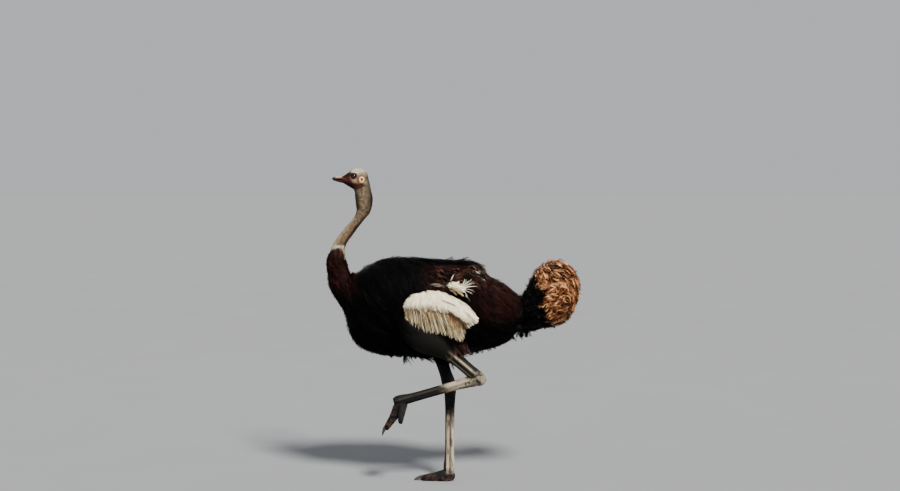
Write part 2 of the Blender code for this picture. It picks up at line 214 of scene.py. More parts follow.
# ---- foot, from the joint of the toes: (forward, up, half width, upper reach, lower reach) ----
BIG_TOE = [
    (-0.034, -0.034, 0.014, 0.010, 0.012),
    (-0.024, -0.030, 0.024, 0.018, 0.028),
    (0.000, -0.022, 0.0315, 0.022, 0.060),
    (0.026, -0.018, 0.0335, 0.024, 0.076),
    (0.058, -0.027, 0.0320, 0.022, 0.056),
    (0.095, -0.036, 0.0290, 0.019, 0.039),
    (0.130, -0.041, 0.0270, 0.017, 0.032),
    (0.155, -0.044, 0.0210, 0.014, 0.026),
    (0.168, -0.047, 0.0110, 0.007, 0.012),
]
SMALL_TOE = [
    (0.000, -0.034, 0.0130, 0.012, 0.016),
    (0.014, -0.032, 0.0195, 0.018, 0.044),
    (0.050, -0.036, 0.0205, 0.016, 0.038),
    (0.085, -0.041, 0.0190, 0.013, 0.031),
    (0.108, -0.045, 0.0150, 0.010, 0.025),
    (0.118, -0.048, 0.0070, 0.005, 0.010),
]
CLAW = [
    (0.142, -0.0395, 0.0120, 0.0100, 0.0060),
    (0.168, -0.0400, 0.0115, 0.0085, 0.0110),
    (0.190, -0.0470, 0.0080, 0.0060, 0.0080),
    (0.207, -0.0565, 0.0030, 0.0025, 0.0035),
]
LEG_INSET = 0.0010
SIGN_OF = {"l": -1, "r": 1}


# ---- numbers and points ----
def smooth_step(low, high, value):
    t = np.clip((value - low) / (high - low), 0, 1)
    return t * t * (3 - 2 * t)


def bump(distance, width):
    """1 at distance 0, falling off smoothly over the width."""
    return np.exp(-((distance / width) ** 2))


def unit(v):
    return v / np.maximum(np.linalg.norm(v, axis=-1, keepdims=True), 1e-9)


def linear(red, green, blue):
    """A colour given as a screen shows it, 0 to 255, as light."""
    c = np.array((red, green, blue)) / 255
    return np.where(c < 0.04045, c / 12.92, ((c + 0.055) / 1.055) ** 2.4)


def mix(a, b, share):
    """Colour a with a share of colour b laid over it."""
    share = np.asarray(share)[..., None]
    return a * (1 - share) + b * share


def vectors(*parts):
    """Coordinates, single or in arrays, side by side as one array of vectors."""
    return np.stack(np.broadcast_arrays(*parts), -1)


def spotted(table, values):
    """Looks values up in a table of (place, value) pairs."""
    places, results = zip(*table)
    return np.interp(values, places, results)


def column_at(rows, place, column, values):
    """Looks values up in one column of rows and gives another column there."""
    return spotted([(row[place], row[column]) for row in rows], values)


def noise(points, size, seed):
    """Smooth noise from 0 to 1, in lumps of about the given size."""
    cell = points / size
    low = np.floor(cell).astype(np.int64)
    t = cell - low
    t = t * t * (3 - 2 * t)
    total = np.zeros(points.shape[:-1])
    for corner in itertools.product((0, 1), repeat=3):
        n = low + np.array(corner)
        h = (n[..., 0] * 73856093) ^ (n[..., 1] * 19349663) ^ (n[..., 2] * 83492791) ^ (seed * 7919)
        h = ((h ^ (h >> 13)) * 1274126177) & 0x7FFFFFFF
        value = ((h ^ (h >> 15)) & 0xFFFF) / 65535
        weight = np.prod(np.where(np.array(corner) == 1, t, 1 - t), axis=-1)
        total += value * weight
    return total


def wander(points, size, seeds):
    """A smooth random vector for each point, from one seed for each axis."""
    return np.stack([noise(points, size, seed) - 0.5 for seed in seeds], -1)


def rows_at(rows, places):
    """The rows' values at places counted in rows, on a smooth curve through them all."""
    table, places = np.array(rows, float), np.asarray(places, float)
    k = np.clip(places.astype(int), 0, len(table) - 2)
    t = (places - k)[:, None]
    before, a = table[np.maximum(k - 1, 0)], table[k]
    b, after = table[k + 1], table[np.minimum(k + 2, len(table) - 1)]
    leave, arrive = (b - before) / 2, (after - a) / 2
    return (a * (2 * t**3 - 3 * t**2 + 1) + leave * (t**3 - 2 * t**2 + t)
            + b * (3 * t**2 - 2 * t**3) + arrive * (t**3 - t**2))


def columns(rows, count):
    """The rows' values at evenly spread places, column by column."""
    return rows_at(rows, np.linspace(0, len(rows) - 1, count + 1)).T


def ring_angles(sides):
    """Angles of a ring's points, 0 at its first point and from -pi to pi."""
    return np.roll(np.linspace(-np.pi, np.pi, sides + 1)[:-1], sides // 2)[None]


def ovals(centre, up, side, sides, squareness=2.0, widest=0.0):
    """Rings of points about centres, as an array (ring, point, 3)."""
    angle = 2 * np.pi * np.arange(sides) / sides
    power = 2 / np.broadcast_to(np.asarray(squareness, float), (len(centre),))[:, None]
    c = np.sign(np.cos(angle)) * np.abs(np.cos(angle)) ** power
    s = np.sign(np.sin(angle)) * np.abs(np.sin(angle)) ** power
    s = s * (1 + np.broadcast_to(np.asarray(widest, float), (len(centre),))[:, None] * c)
    return centre[:, None] + up[:, None] * c[..., None] + side[:, None] * s[..., None]


def shrunk(v, by, least=0.003):
    """Vectors made shorter by a length, but never shorter than the least."""
    size = np.linalg.norm(v, axis=-1, keepdims=True)
    by = np.asarray(by, float)
    by = by[:, None] if by.ndim else by
    return v / size * np.maximum(size - by, np.minimum(size, least))


def lifted(points, amount):
    """Rings of points moved out from each ring's middle by an amount."""
    outward = unit(points - points.mean(axis=1, keepdims=True))
    return points + outward * amount[..., None]


def to_line(points, line):
    """Distance in the XZ plane from points to a line of (x, z) points."""
    at = points[..., [0, 2]]
    nearest = np.full(at.shape[:-1], np.inf)
    for a, b in zip(np.array(line), np.array(line)[1:]):
        t = np.clip(((at - a) @ (b - a)) / ((b - a) @ (b - a)), 0, 1)
        nearest = np.minimum(nearest, np.linalg.norm(at - a - t[..., None] * (b - a), axis=-1))
    return nearest


def beside(points, line, outer, inner):
    """1 within an inner distance of a line, fading to 0 at an outer one."""
    return smooth_step(outer, inner, to_line(points, line))


def from_eye(x, z):
    """How far out from the middle of the eye's opening: 1 on the edge of the lids."""
    return np.hypot((x - EYE[0]) / EYE_OPENING[0], (z - EYE[2]) / EYE_OPENING[1])


def from_lids(dx, dz):
    """Unit vectors square to the oval of the lids, at offsets from the eye's middle."""
    return unit(vectors(dx / EYE_OPENING[0] ** 2, 0, dz / EYE_OPENING[1] ** 2))


# ---- meshes ----
def new_object(name, points, triangles):
    """A smooth-shaded mesh object of triangles."""
    mesh = bpy.data.meshes.new(name)
    mesh.vertices.add(len(points))
    mesh.vertices.foreach_set("co", np.asarray(points, np.float32).ravel())
    mesh.loops.add(triangles.size)
    mesh.loops.foreach_set("vertex_index", triangles.astype(np.int32).ravel())
    mesh.polygons.add(len(triangles))
    mesh.polygons.foreach_set("loop_start", np.arange(0, triangles.size, 3, dtype=np.int32))
    mesh.update(calc_edges=True)
    mesh.shade_smooth()
    obj = bpy.data.objects.new(name, mesh)
    bpy.context.scene.collection.objects.link(obj)
    return obj


def tube_triangles(rows, sides):
    """Triangles of a closed tube of rings, with a middle point at each end."""
    r, s = np.meshgrid(np.arange(rows - 1), np.arange(sides), indexing="ij")
    a, b = r * sides + s, r * sides + (s + 1) % sides
    c, d = a + sides, b + sides
    walls = np.stack([a, b, d, a, d, c], -1).reshape(-1, 3)
    i, j = np.arange(sides), (np.arange(sides) + 1) % sides
    first, last, end = rows * sides, rows * sides + 1, (rows - 1) * sides
    start_cap = np.stack([j, i, np.full(sides, first)], -1)
    end_cap = np.stack([end + i, end + j, np.full(sides, last)], -1)
    return np.concatenate([walls, start_cap, end_cap])


def tube_points(rings):
    """The points that tube_triangles counts: the rings', then the two ends' middles."""
    return np.concatenate([rings.reshape(-1, 3), [rings[0].mean(0)], [rings[-1].mean(0)]])


def closed_object(name, points, triangles):
    """A closed mesh whose faces look outward."""
    obj = new_object(name, points, triangles)
    build = bmesh.new()
    build.from_mesh(obj.data)
    if build.calc_volume(signed=True) < 0:
        bmesh.ops.reverse_faces(build, faces=build.faces)
    build.to_mesh(obj.data)
    build.free()
    return obj


def tube(name, rings):
    return closed_object(name, tube_points(rings), tube_triangles(*rings.shape[:2]))


def ring_solid(name, rings):
    """A closed loop of rings, like a bent tyre."""
    rows, sides = rings.shape[:2]
    r, s = np.meshgrid(np.arange(rows), np.arange(sides), indexing="ij")
    a, b = r * sides + s, r * sides + (s + 1) % sides
    c, d = (r + 1) % rows * sides + s, (r + 1) % rows * sides + (s + 1) % sides
    triangles = np.stack([a, b, d, a, d, c], -1).reshape(-1, 3)
    return closed_object(name, rings.reshape(-1, 3), triangles)


def vertices_of(obj):
    points = np.empty(len(obj.data.vertices) * 3, np.float32)
    obj.data.vertices.foreach_get("co", points)
    return points.reshape(-1, 3).astype(float)


def joined(obj, others):
    """The objects as one closed mesh, with no walls left inside."""
    for other in others:
        modifier = obj.modifiers.new(other.name, "BOOLEAN")
        modifier.operation = "UNION"
        modifier.solver = "MANIFOLD"
        modifier.object = other
    graph = bpy.context.evaluated_depsgraph_get()
    mesh = bpy.data.meshes.new_from_object(obj.evaluated_get(graph))
    obj.modifiers.clear()
    obj.data = mesh
    for other in others:
        bpy.data.objects.remove(other)
    return obj


def soften_joins(obj, originals, reach, rounds):
    """Smooths the mesh near the edges where its pieces were joined."""
    points = vertices_of(obj)
    known = {tuple(p) for p in np.round(originals, 6).astype(np.float32).tolist()}
    fresh = [p for p, q in zip(points.tolist(), np.round(points, 6).astype(np.float32).tolist())
             if tuple(q) not in known]
    joins = KDTree(len(fresh))
    for i, p in enumerate(fresh):
        joins.insert(p, i)
    joins.balance()
    near = bump(np.array([joins.find(p)[2] for p in points.tolist()]), reach * 0.6)
    edges = np.empty(len(obj.data.edges) * 2, np.int64)
    obj.data.edges.foreach_get("vertices", edges)
    a, b = edges.reshape(-1, 2).T
    degree = np.bincount(a, minlength=len(points)) + np.bincount(b, minlength=len(points))
    share = (0.6 * near)[:, None]
    for _ in range(rounds):
        total = np.zeros_like(points)
        for axis in range(3):
            total[:, axis] = (np.bincount(a, points[b, axis], len(points))
                              + np.bincount(b, points[a, axis], len(points)))
        points += (total / np.maximum(degree, 1)[:, None] - points) * share
    obj.data.vertices.foreach_set("co", points.astype(np.float32).ravel())
    obj.data.update()


# ---- the skin ----
def body_rings():
    """The skin of head, neck and trunk as rings, each with its place in the rows."""
    fine = np.linspace(0, len(BODY) - 1, 4000)
    rows = rows_at(BODY, fine)
    middle = (rows[:, :2] + rows[:, 2:4]) / 2
    step = np.linalg.norm(np.diff(middle, axis=0), axis=1)
    count = np.concatenate([[0], np.cumsum(step / spotted(ROW_SPACING, fine[1:]))])
    places = np.interp(np.linspace(0, count[-1], int(count[-1]) + 1), count, fine)
    back_x, back_z, front_x, front_z, half_width, squareness, widest = rows_at(BODY, places).T
    back, front = vectors(back_x, 0, back_z), vectors(front_x, 0, front_z)
    depth = spotted(COAT_DEPTH, places)
    up = shrunk((back - front) / 2, depth)
    side = shrunk(vectors(0, half_width, 0), depth)
    return ovals((back + front) / 2, up, side, BODY_SIDES, squareness, widest), places


def shape_head(rings, places):
    """Eye sockets, brow, lores, gape, jaw, ear holes and folds, pressed into the plain rings."""
    head = (places < NECK_START + 0.5)[:, None]
    x, y, z = np.moveaxis(rings, -1, 0)
    flat = lambda cx, cz: np.hypot(x - cx, z - cz)
    gape = to_line(rings, GAPE)
    brow = [(-0.494, 1.806), (-0.470, 1.8105), (-0.447, 1.805)]
    amount = (
        0.0014 * bump(to_line(rings, brow), 0.0065)
        - 0.0022 * bump(flat(-0.511, 1.779), 0.011)
        + 0.0016 * bump(flat(-0.462, 1.750), 0.013)
        + 0.0010 * bump(flat(-0.500, 1.748), 0.010)
        - 0.0016 * bump(gape, 0.0016) + 0.0007 * bump(gape - 0.0042, 0.0022)
        - 0.0060 * bump(flat(EAR[0], EAR[2]), 0.0060)
        + 0.0010 * bump(flat(EAR[0], EAR[2]) - 0.0125, 0.0050)
    ) * (np.abs(y) > 0.006)
    folds = np.sin(z * 900 + 3 * noise(rings, 0.02, 5)) * noise(rings, 0.015, 6)
    throat = smooth_step(1.765, 1.735, z) * smooth_step(-0.53, -0.50, x)
    amount = amount + 0.0005 * folds * throat + 0.0007 * (noise(rings, 0.006, 7) - 0.5)
    rings = lifted(rings, np.where(head, amount, 0.0012 * (noise(rings, 0.012, 8) - 0.5)))
    x, y, z = np.moveaxis(rings, -1, 0)
    around = from_eye(x, z)
    ball_height = (EYE_RADIUS + 0.0008) ** 2 - (x - EYE[0]) ** 2 - (z - EYE[2]) ** 2
    ball = EYE[1] + np.sqrt(np.maximum(ball_height, 0))
    natural = np.abs(y)
    wanted = np.maximum(ball, natural - 0.0040)
    wanted = np.where(around < 1.15, ball - 0.006 * smooth_step(1.15, 0.95, around), wanted)
    hold = smooth_step(1.75, 1.05, around) * head * (natural > 0.008)
    rings[..., 1] = np.sign(y) * (natural * (1 - hold) + wanted * hold)
    return rings


def lid(sign):
    """A rolled rim of skin round the eye's opening, thicker above."""
    turn = np.linspace(0, 2 * np.pi, 57)[:-1]
    above = smooth_step(-0.2, 0.8, np.sin(turn))
    corner = np.abs(np.cos(turn)) ** 6
    width = 0.0017 + 0.0014 * above - 0.0007 * corner
    thick = 0.0010 + 0.0007 * above - 0.0003 * corner
    dx = EYE_OPENING[0] * np.cos(turn)
    dz = EYE_OPENING[1] * np.sin(turn) + 0.0007 * np.cos(turn)
    out = from_lids(dx, dz)
    flat = vectors(dx, 0, dz) + out * (width * 0.8)[:, None]
    height = np.sqrt(np.maximum((EYE_RADIUS + 0.0004) ** 2 - (flat**2).sum(-1), 0))
    centre = EYE + flat + vectors(0, height, 0)
    normal = unit(centre - EYE)
    out = unit(out - normal * (out * normal).sum(-1, keepdims=True))
    rings = ovals(centre, normal * thick[:, None], out * width[:, None], 12, 2.2)
    rings[..., 1] *= sign
    return ring_solid("lid", rings)


def ear_rim(sign):
    """The ear's raised rim, thinner at the back."""
    turn = np.linspace(0, 2 * np.pi, 49)[:-1]
    out = vectors(np.cos(turn), 0, np.sin(turn))
    roll = EAR_ROLL * (0.82 + 0.18 * np.cos(turn + 2.4))
    centre = EAR + out * EAR_RADIUS * np.array((1.0, 1.0, 1.12)) - np.array((0, 0.0012, 0))
    side = np.tile((0.0, 1.0, 0.0), (len(turn), 1))
    rings = ovals(centre, side * roll[:, None], out * (roll * 0.8)[:, None], 12)
    rings[..., 1] *= sign
    return ring_solid("ear_rim", rings)


def leg_frame(start, end):
    """The ends of a leg's segment, and its unit directions forward and across."""
    start, end = np.array(start), np.array(end)
    downward = unit(end - start)
    across = unit(np.array((0, 1, 0)) - downward * downward[1])
    return start, end, np.cross(across, downward), across


def leg_rings(rows, start, end, count, sides, detail):
    """Skin of a leg's segment. The rings' points start in front and turn towards +Y."""
    start, end, forward, across = leg_frame(start, end)
    share, front, behind, half_width = columns(rows, count)
    centre = start + share[:, None] * (end - start) + forward * ((front - behind) / 2)[:, None]
    up = shrunk(forward * ((front + behind) / 2)[:, None], LEG_INSET)
    side = shrunk(across * half_width[:, None], LEG_INSET)
    rings = ovals(centre, up, side, sides)
    return lifted(rings, detail(share[:, None], ring_angles(sides), rings))


def shank_detail(share, angle, rings):
    """Tendons behind the lower shank, muscle above it, and the knobs of the ankle."""
    behind = np.pi - np.abs(angle)
    lower = smooth_step(0.45, 0.60, share) * smooth_step(1.02, 0.93, share)
    tendon = 0.0035 * bump(behind, 0.30) - 0.0030 * bump(behind - 0.75, 0.30)
    front = 0.0014 * bump(angle, 0.45) - 0.0012 * bump(np.abs(angle) - 0.9, 0.3)
    knob = bump(share - 0.985, 0.035) * bump(np.abs(angle) - 1.7, 0.5) * 0.0040
    groove = bump(share - 0.955, 0.012) * bump(angle, 0.6) * -0.0016
    muscle = 0.005 * (noise(rings, 0.09, 11) - 0.5) * smooth_step(0.6, 0.3, share)
    wrinkle = 0.0008 * np.sin(share * 420) * bump(share - 0.99, 0.05) * bump(angle, 0.8)
    veins = 0.0010 * (noise(rings, 0.010, 12) - 0.5)
    return lower * (tendon + front) + knob + groove + muscle + wrinkle + veins


def plates(along, size):
    """Height of a row of overlapping plates: each rises gently and ends in a step."""
    t = (along / size) % 1.0
    return smooth_step(0.0, 0.22, t) * (1 - smooth_step(0.86, 1.0, t)) * (0.7 + 0.3 * t)


def tarsus_detail(share, angle, rings):
    """Big plates down the front, grooves at the sides, and small scales behind."""
    behind = np.pi - np.abs(angle)
    front = plates(share * TARSUS_LENGTH, 0.0135) * smooth_step(0.80, 0.55, np.abs(angle))
    front = front * smooth_step(0.04, 0.12, share) * 0.0016
    groove = -0.0022 * bump(np.abs(angle) - 1.75, 0.26) * smooth_step(0.02, 0.15, share)
    tendon = 0.0012 * bump(behind, 0.5)
    knob = 0.0035 * bump(share - 0.03, 0.05) * bump(np.abs(angle) - 1.5, 0.5)
    joint = 0.0025 * bump(share - 0.97, 0.03) * bump(np.abs(angle) - 1.5, 0.7)
    small = 0.0007 * (noise(rings, 0.005, 13) - 0.5) * smooth_step(0.6, 0.9, np.abs(angle))
    return front + groove + tendon + knob + joint + small - 0.0006


def toe_rings(rows, place, count, sides, detail, inset=LEG_INSET):
    """Skin of a toe, flat below, put in place by a matrix. The rings' points start on top."""
    ahead, up, half_width, above, below = columns(rows, count)
    tall = shrunk(vectors(0, 0, (above + below) / 2), inset, 0.001)
    wide = shrunk(vectors(0, half_width, 0), inset, 0.001)
    rings = ovals(vectors(-ahead, 0, up + (above - below) / 2), tall, wide, sides, 2.3)
    rings = lifted(rings, detail(ahead[:, None], ring_angles(sides), rings))
    rings[..., 2] = np.maximum(rings[..., 2], -TOE_JOINT_HEIGHT)
    turn, shift = np.array(place.to_3x3()), np.array(place.translation)
    return rings @ turn.T + shift


def toe_detail(ahead, angle, rings):
    """Plates on top of the toe and soft, beaded pads at its sides."""
    top = plates(ahead, 0.0105) * smooth_step(0.95, 0.65, np.abs(angle)) * 0.0014
    pads = 0.0018 * np.sin(ahead * 2 * np.pi / 0.042) * bump(np.abs(angle) - 2.0, 0.7)
    beads = 0.0010 * (noise(rings, 0.0045, 14) - 0.5) * smooth_step(0.7, 1.1, np.abs(angle))
    return top + pads + beads - 0.0004


def toe_places(side):
    """Where a foot's big and small toe sit and how they are turned."""
    sign = SIGN_OF[side]
    foot = Matrix.Translation(TOE_JOINT[side])
    big = foot @ Matrix.Rotation(math.radians(-BIG_TOE_PITCH[side]), 4, "Y")
    small = (foot @ Matrix.Rotation(math.radians(-SMALL_TOE_PITCH[side]), 4, "Y")
             @ Matrix.Translation((0, sign * SMALL_TOE_ROOT, 0))
             @ Matrix.Rotation(math.radians(-sign * TOE_SPLAY), 4, "Z"))
    return big, small


def leg_solids(side):
    """The skin of a leg's segments and toes, one after the other."""
    big, small = toe_places(side)
    yield tube("shank", leg_rings(DRUMSTICK, KNEE[side], ANKLE[side], 140, 56, shank_detail))
    yield tube("tarsus", leg_rings(METATARSUS, ANKLE[side], TOE_JOINT[side], 210, 56, tarsus_detail))
    yield tube("big_toe", toe_rings(BIG_TOE, big, 96, 40, toe_detail))
    yield tube("small_toe", toe_rings(SMALL_TOE, small, 66, 36, toe_detail))


def wing_rings(rows, plane, sign, inset, count, sides):
    """Rings round a wing that lies in an upright plane, thinner by an inset."""
    top_x, top_z, low_x, low_z, thick = columns(rows, count)
    top, low = vectors(top_x, sign * plane, top_z), vectors(low_x, sign * plane, low_z)
    side = vectors(0, np.maximum(thick - inset, 0.004), 0)
    return ovals((top + low) / 2, shrunk((top - low) / 2, inset, 0.006), side, sides, 2.2)


def make_skin(rings, places):
    """Body, legs and the wings' arms as one closed skin, with rolled lids and ear rims."""
    body = tube("skin", shape_head(rings, places))
    pieces = [solid for side in SIGN_OF for solid in leg_solids(side)]
    pieces += [tube("arm", wing_rings(WING_UPPER, WING_PLANE, sign, WING_COAT, 60, 40))
               for sign in SIGN_OF.values()]
    originals = np.concatenate([vertices_of(o) for o in [body, *pieces]])
    skin = joined(body, pieces)
    soften_joins(skin, originals, 0.016, 14)
    skin = joined(skin, [make(sign) for sign in SIGN_OF.values() for make in (lid, ear_rim)])
    skin.name = "skin"
    skin.data.shade_smooth()
    return skin


# ---- where the feathers grow and how they lie ----
class Surface:
    """A mesh that feathers lie on."""

    def __init__(self, points, triangles):
        self.tree = BVHTree.FromPolygons(points.tolist(), triangles.tolist())

    def nearest(self, points):
        places, normals = np.empty_like(points), np.empty_like(points)
        for i, p in enumerate(points.tolist()):
            place, normal, _, _ = self.tree.find_nearest(p)
            places[i], normals[i] = place, normal
        return places, normals


def surface_of(obj):
    obj.data.calc_loop_triangles()
    triangles = np.empty(len(obj.data.loop_triangles) * 3, np.int32)
    obj.data.loop_triangles.foreach_get("vertices", triangles)
    return Surface(vertices_of(obj), triangles.reshape(-1, 3))


def tube_surface(*tubes):
    """One surface of several tubes, their normals outward."""
    points, triangles, start = [], [], 0
    for rings in tubes:
        points.append(tube_points(rings))
        faces = tube_triangles(*rings.shape[:2])
        a, b, c = (points[-1][faces[:, i]] for i in range(3))
        if (np.cross(b - a, c - a) * (a - rings.mean(axis=(0, 1)))).sum() < 0:
            faces = faces[:, ::-1]
        triangles.append(faces + start)
        start += len(points[-1])
    return Surface(np.concatenate(points), np.concatenate(triangles))


def roots_on(rings, count, rng, weight=None):
    """Random places spread over rings by area: points, outward normals, and the place on the
    rings' unwrap, from 0 to 1 along and around."""
    a, b = rings[:-1], rings[1:]
    c, d = np.roll(a, -1, axis=1), np.roll(b, -1, axis=1)
    normal = np.cross(b - a, c - a)
    area = np.linalg.norm(normal, axis=-1)
    middle = (a + b + c + d) / 4
    if weight is not None:
        area = area * weight(middle)
    total = np.cumsum(area.ravel())
    pick = (np.arange(count) + rng.random(count)) / count * total[-1]
    cell = np.minimum(np.searchsorted(total, pick), area.size - 1)
    i, j = np.unravel_index(cell, area.shape)
    u, v = rng.random((2, count, 1))
    points = (a[i, j] * (1 - u) + b[i, j] * u) * (1 - v) + (c[i, j] * (1 - u) + d[i, j] * u) * v
    normals = unit(normal[i, j])
    outward = points - rings.mean(axis=1)[i]
    normals *= np.where((normals * outward).sum(-1, keepdims=True) < 0, -1, 1)
    unwrap = vectors((i + u[:, 0]) / area.shape[0], (j + v[:, 0]) / area.shape[1])
    return points, normals, unwrap


def tangent(direction, normal):
    """Unit vectors along a surface, as near as can be to a direction."""
    return unit(direction - normal * (direction * normal).sum(-1, keepdims=True))


def turned(v, axis, angle):
    """Vectors turned about unit axes."""
    c, s = np.cos(angle)[:, None], np.sin(angle)[:, None]
    return v * c + np.cross(axis, v) * s + axis * (axis * v).sum(-1, keepdims=True) * (1 - c)


def run_over(surface, roots, lie, length, height, sway, steps=7):
    """Lines that run over a surface from their roots: points and normals, (n, steps + 1, 3)."""
    at, normal = surface.nearest(roots)
    line, up = [], []
    for k in range(steps + 1):
        line.append(at + normal * height(k / steps)[:, None])
        up.append(normal)
        ahead = turned(tangent(lie(at), normal), normal, sway * (0.4 + k / steps))
        at, normal = surface.nearest(at + ahead * (length / steps)[:, None])
    line = np.stack(line, 1)
    line[:, 1:-1] = (line[:, :-2] + 2 * line[:, 1:-1] + line[:, 2:]) / 4
    return line, unit(np.stack(up, 1))


def curled(line, rng, radius, turns, start=0.55):
    """The ends of lines wound into open curls."""
    n, k, _ = line.shape
    radius, turns = (np.broadcast_to(v, n)[:, None, None] for v in (radius, turns))
    t = np.linspace(0, 1, k)[None, :, None]
    along = unit(line[:, -1:] - line[:, :1])
    lean = rng.uniform(-1, 1, (n, 1, 3))
    aside = unit(lean - along * (lean * along).sum(-1, keepdims=True))
    wind = np.maximum(t - start, 0) / (1 - start) * turns
    back = along * (np.sin(wind) - wind * 0.75) + aside * (1 - np.cos(wind))
    return line + back * radius


# ---- the coat: thin pointed blades of mesh ----
BODY_PLUMES, RUFFLE_PLUMES, BACK_CURLS = 6600, 110, 420
DANGLERS, TASSEL_PLUMES = 218, 12
NECK_HAIRS, HEAD_HAIRS = 36000, 15000
WING_PLUMES, FRINGE_STRANDS = 760, 1150
TAIL_PLUMES, TAIL_RIBBONS = 900, 1500
PATCH = 0.003           # size of a tuft's patch on the coat's unwrap
MOST_TRIANGLES = 190000
HAIR_ROOT = 0.0006      # how deep the down is rooted in the skin


def blade_triangles(count, corners):
    """Triangles of a number of blades, each a point, pairs of corners and a point again."""
    one, left = [(0, 2, 1)], 1
    while left + 2 < corners - 1:
        one += [(left, left + 1, left + 3), (left, left + 3, left + 2)]
        left += 2
    one.append((left, left + 1, corners - 1))
    return (np.array(one)[None] + np.arange(count)[:, None, None] * corners).reshape(-1, 3)


class Coat:
    """Blades gathered for coat pieces that share one finish."""

    def __init__(self, name, paint, seed):
        self.name, self.paint = name, paint
        self.rng = np.random.default_rng(seed)
        self.batches = []

    def add(self, points, across, width, unwrap, share, edge, tuft):
        """Blades along rows of points; share is how far along its tuft each point lies, from 0
        to 1, edge how far across it, and tuft a random number that its whole tuft shares."""
        n, rows, _ = points.shape
        offset = across * (width / 2)[..., None]
        pairs = np.stack([points + offset, points - offset], 2)[:, 1:-1]
        corners = np.concatenate([points[:, :1], pairs.reshape(n, -1, 3), points[:, -1:]], 1)
        which = np.concatenate([[0], np.repeat(np.arange(1, rows - 1), 2), [rows - 1]])
        blade = np.broadcast_to(self.rng.random(n)[:, None], (n, len(which)))
        patch = vectors(share[:, which], edge[:, which]) - 0.5
        spread = 0.01 + 0.98 * unwrap[:, None] + PATCH * patch
        tufts = np.broadcast_to(tuft[:, None], blade.shape)
        self.batches.append((corners, spread, share[:, which], tufts, blade))

    def pieces(self, material):
        """The coat as objects, each with few enough triangles."""
        total = sum(len(b[0]) * (b[0].shape[1] - 2) for b in self.batches)
        parts = int(np.ceil(total / MOST_TRIANGLES))
        made = []
        for part in range(parts):
            points, spread, colours, triangles, start = [], [], [], [], 0
            for corners, uv, share, tuft, blade in self.batches:
                low, high = (len(corners) * np.array((part, part + 1))) // parts
                chosen = slice(low, high)
                flat = corners[chosen].reshape(-1, 3)
                triangles.append(blade_triangles(high - low, corners.shape[1]) + start)
                points.append(flat)
                spread.append(uv[chosen].reshape(-1, 2))
                colours.append(self.paint(
                    flat, share[chosen].ravel(), tuft[chosen].ravel(), blade[chosen].ravel()))
                start += len(flat)
            triangles = np.concatenate(triangles)
            name = self.name if parts == 1 else f"{self.name}_{part + 1}"
            obj = new_object(name, np.concatenate(points), triangles)
            colour_points(obj, np.concatenate(colours))
            layer = obj.data.uv_layers.new(name="OFBake")
            corners_uv = np.concatenate(spread)[triangles.ravel()].astype(np.float32)
            layer.uv.foreach_set("vector", corners_uv.ravel())
            obj.data.materials.append(material)
            made.append(obj)
        return made


def colour_points(obj, colours):
    """Gives each point of a mesh its colour, for painted() to read."""
    attribute = obj.data.color_attributes.new(name="colour", type="FLOAT_COLOR", domain="POINT")
    values = np.ones((len(colours), 4), np.float32)
    values[:, :3] = np.clip(colours, 0, 1)
    attribute.data.foreach_set("color", values.ravel())


def feather_frame(line, up, twist, rng):
    """Directions along, beside and above the points of feathers' shafts, rolled at random."""
    along = unit(np.gradient(line, axis=1))
    side = unit(np.cross(up, along))
    up = np.cross(along, side)
    roll = rng.normal(0, twist, (len(line), 1, 1))
    return along, side * np.cos(roll) + up * np.sin(roll), up * np.cos(roll) - side * np.sin(roll)


def plume_outline(place):
    """Length of the barbs along a plume: longest before the middle, short at the tip."""
    return np.sin(np.pi * np.clip(place * 0.86 + 0.14, 0, 1)) ** 0.6


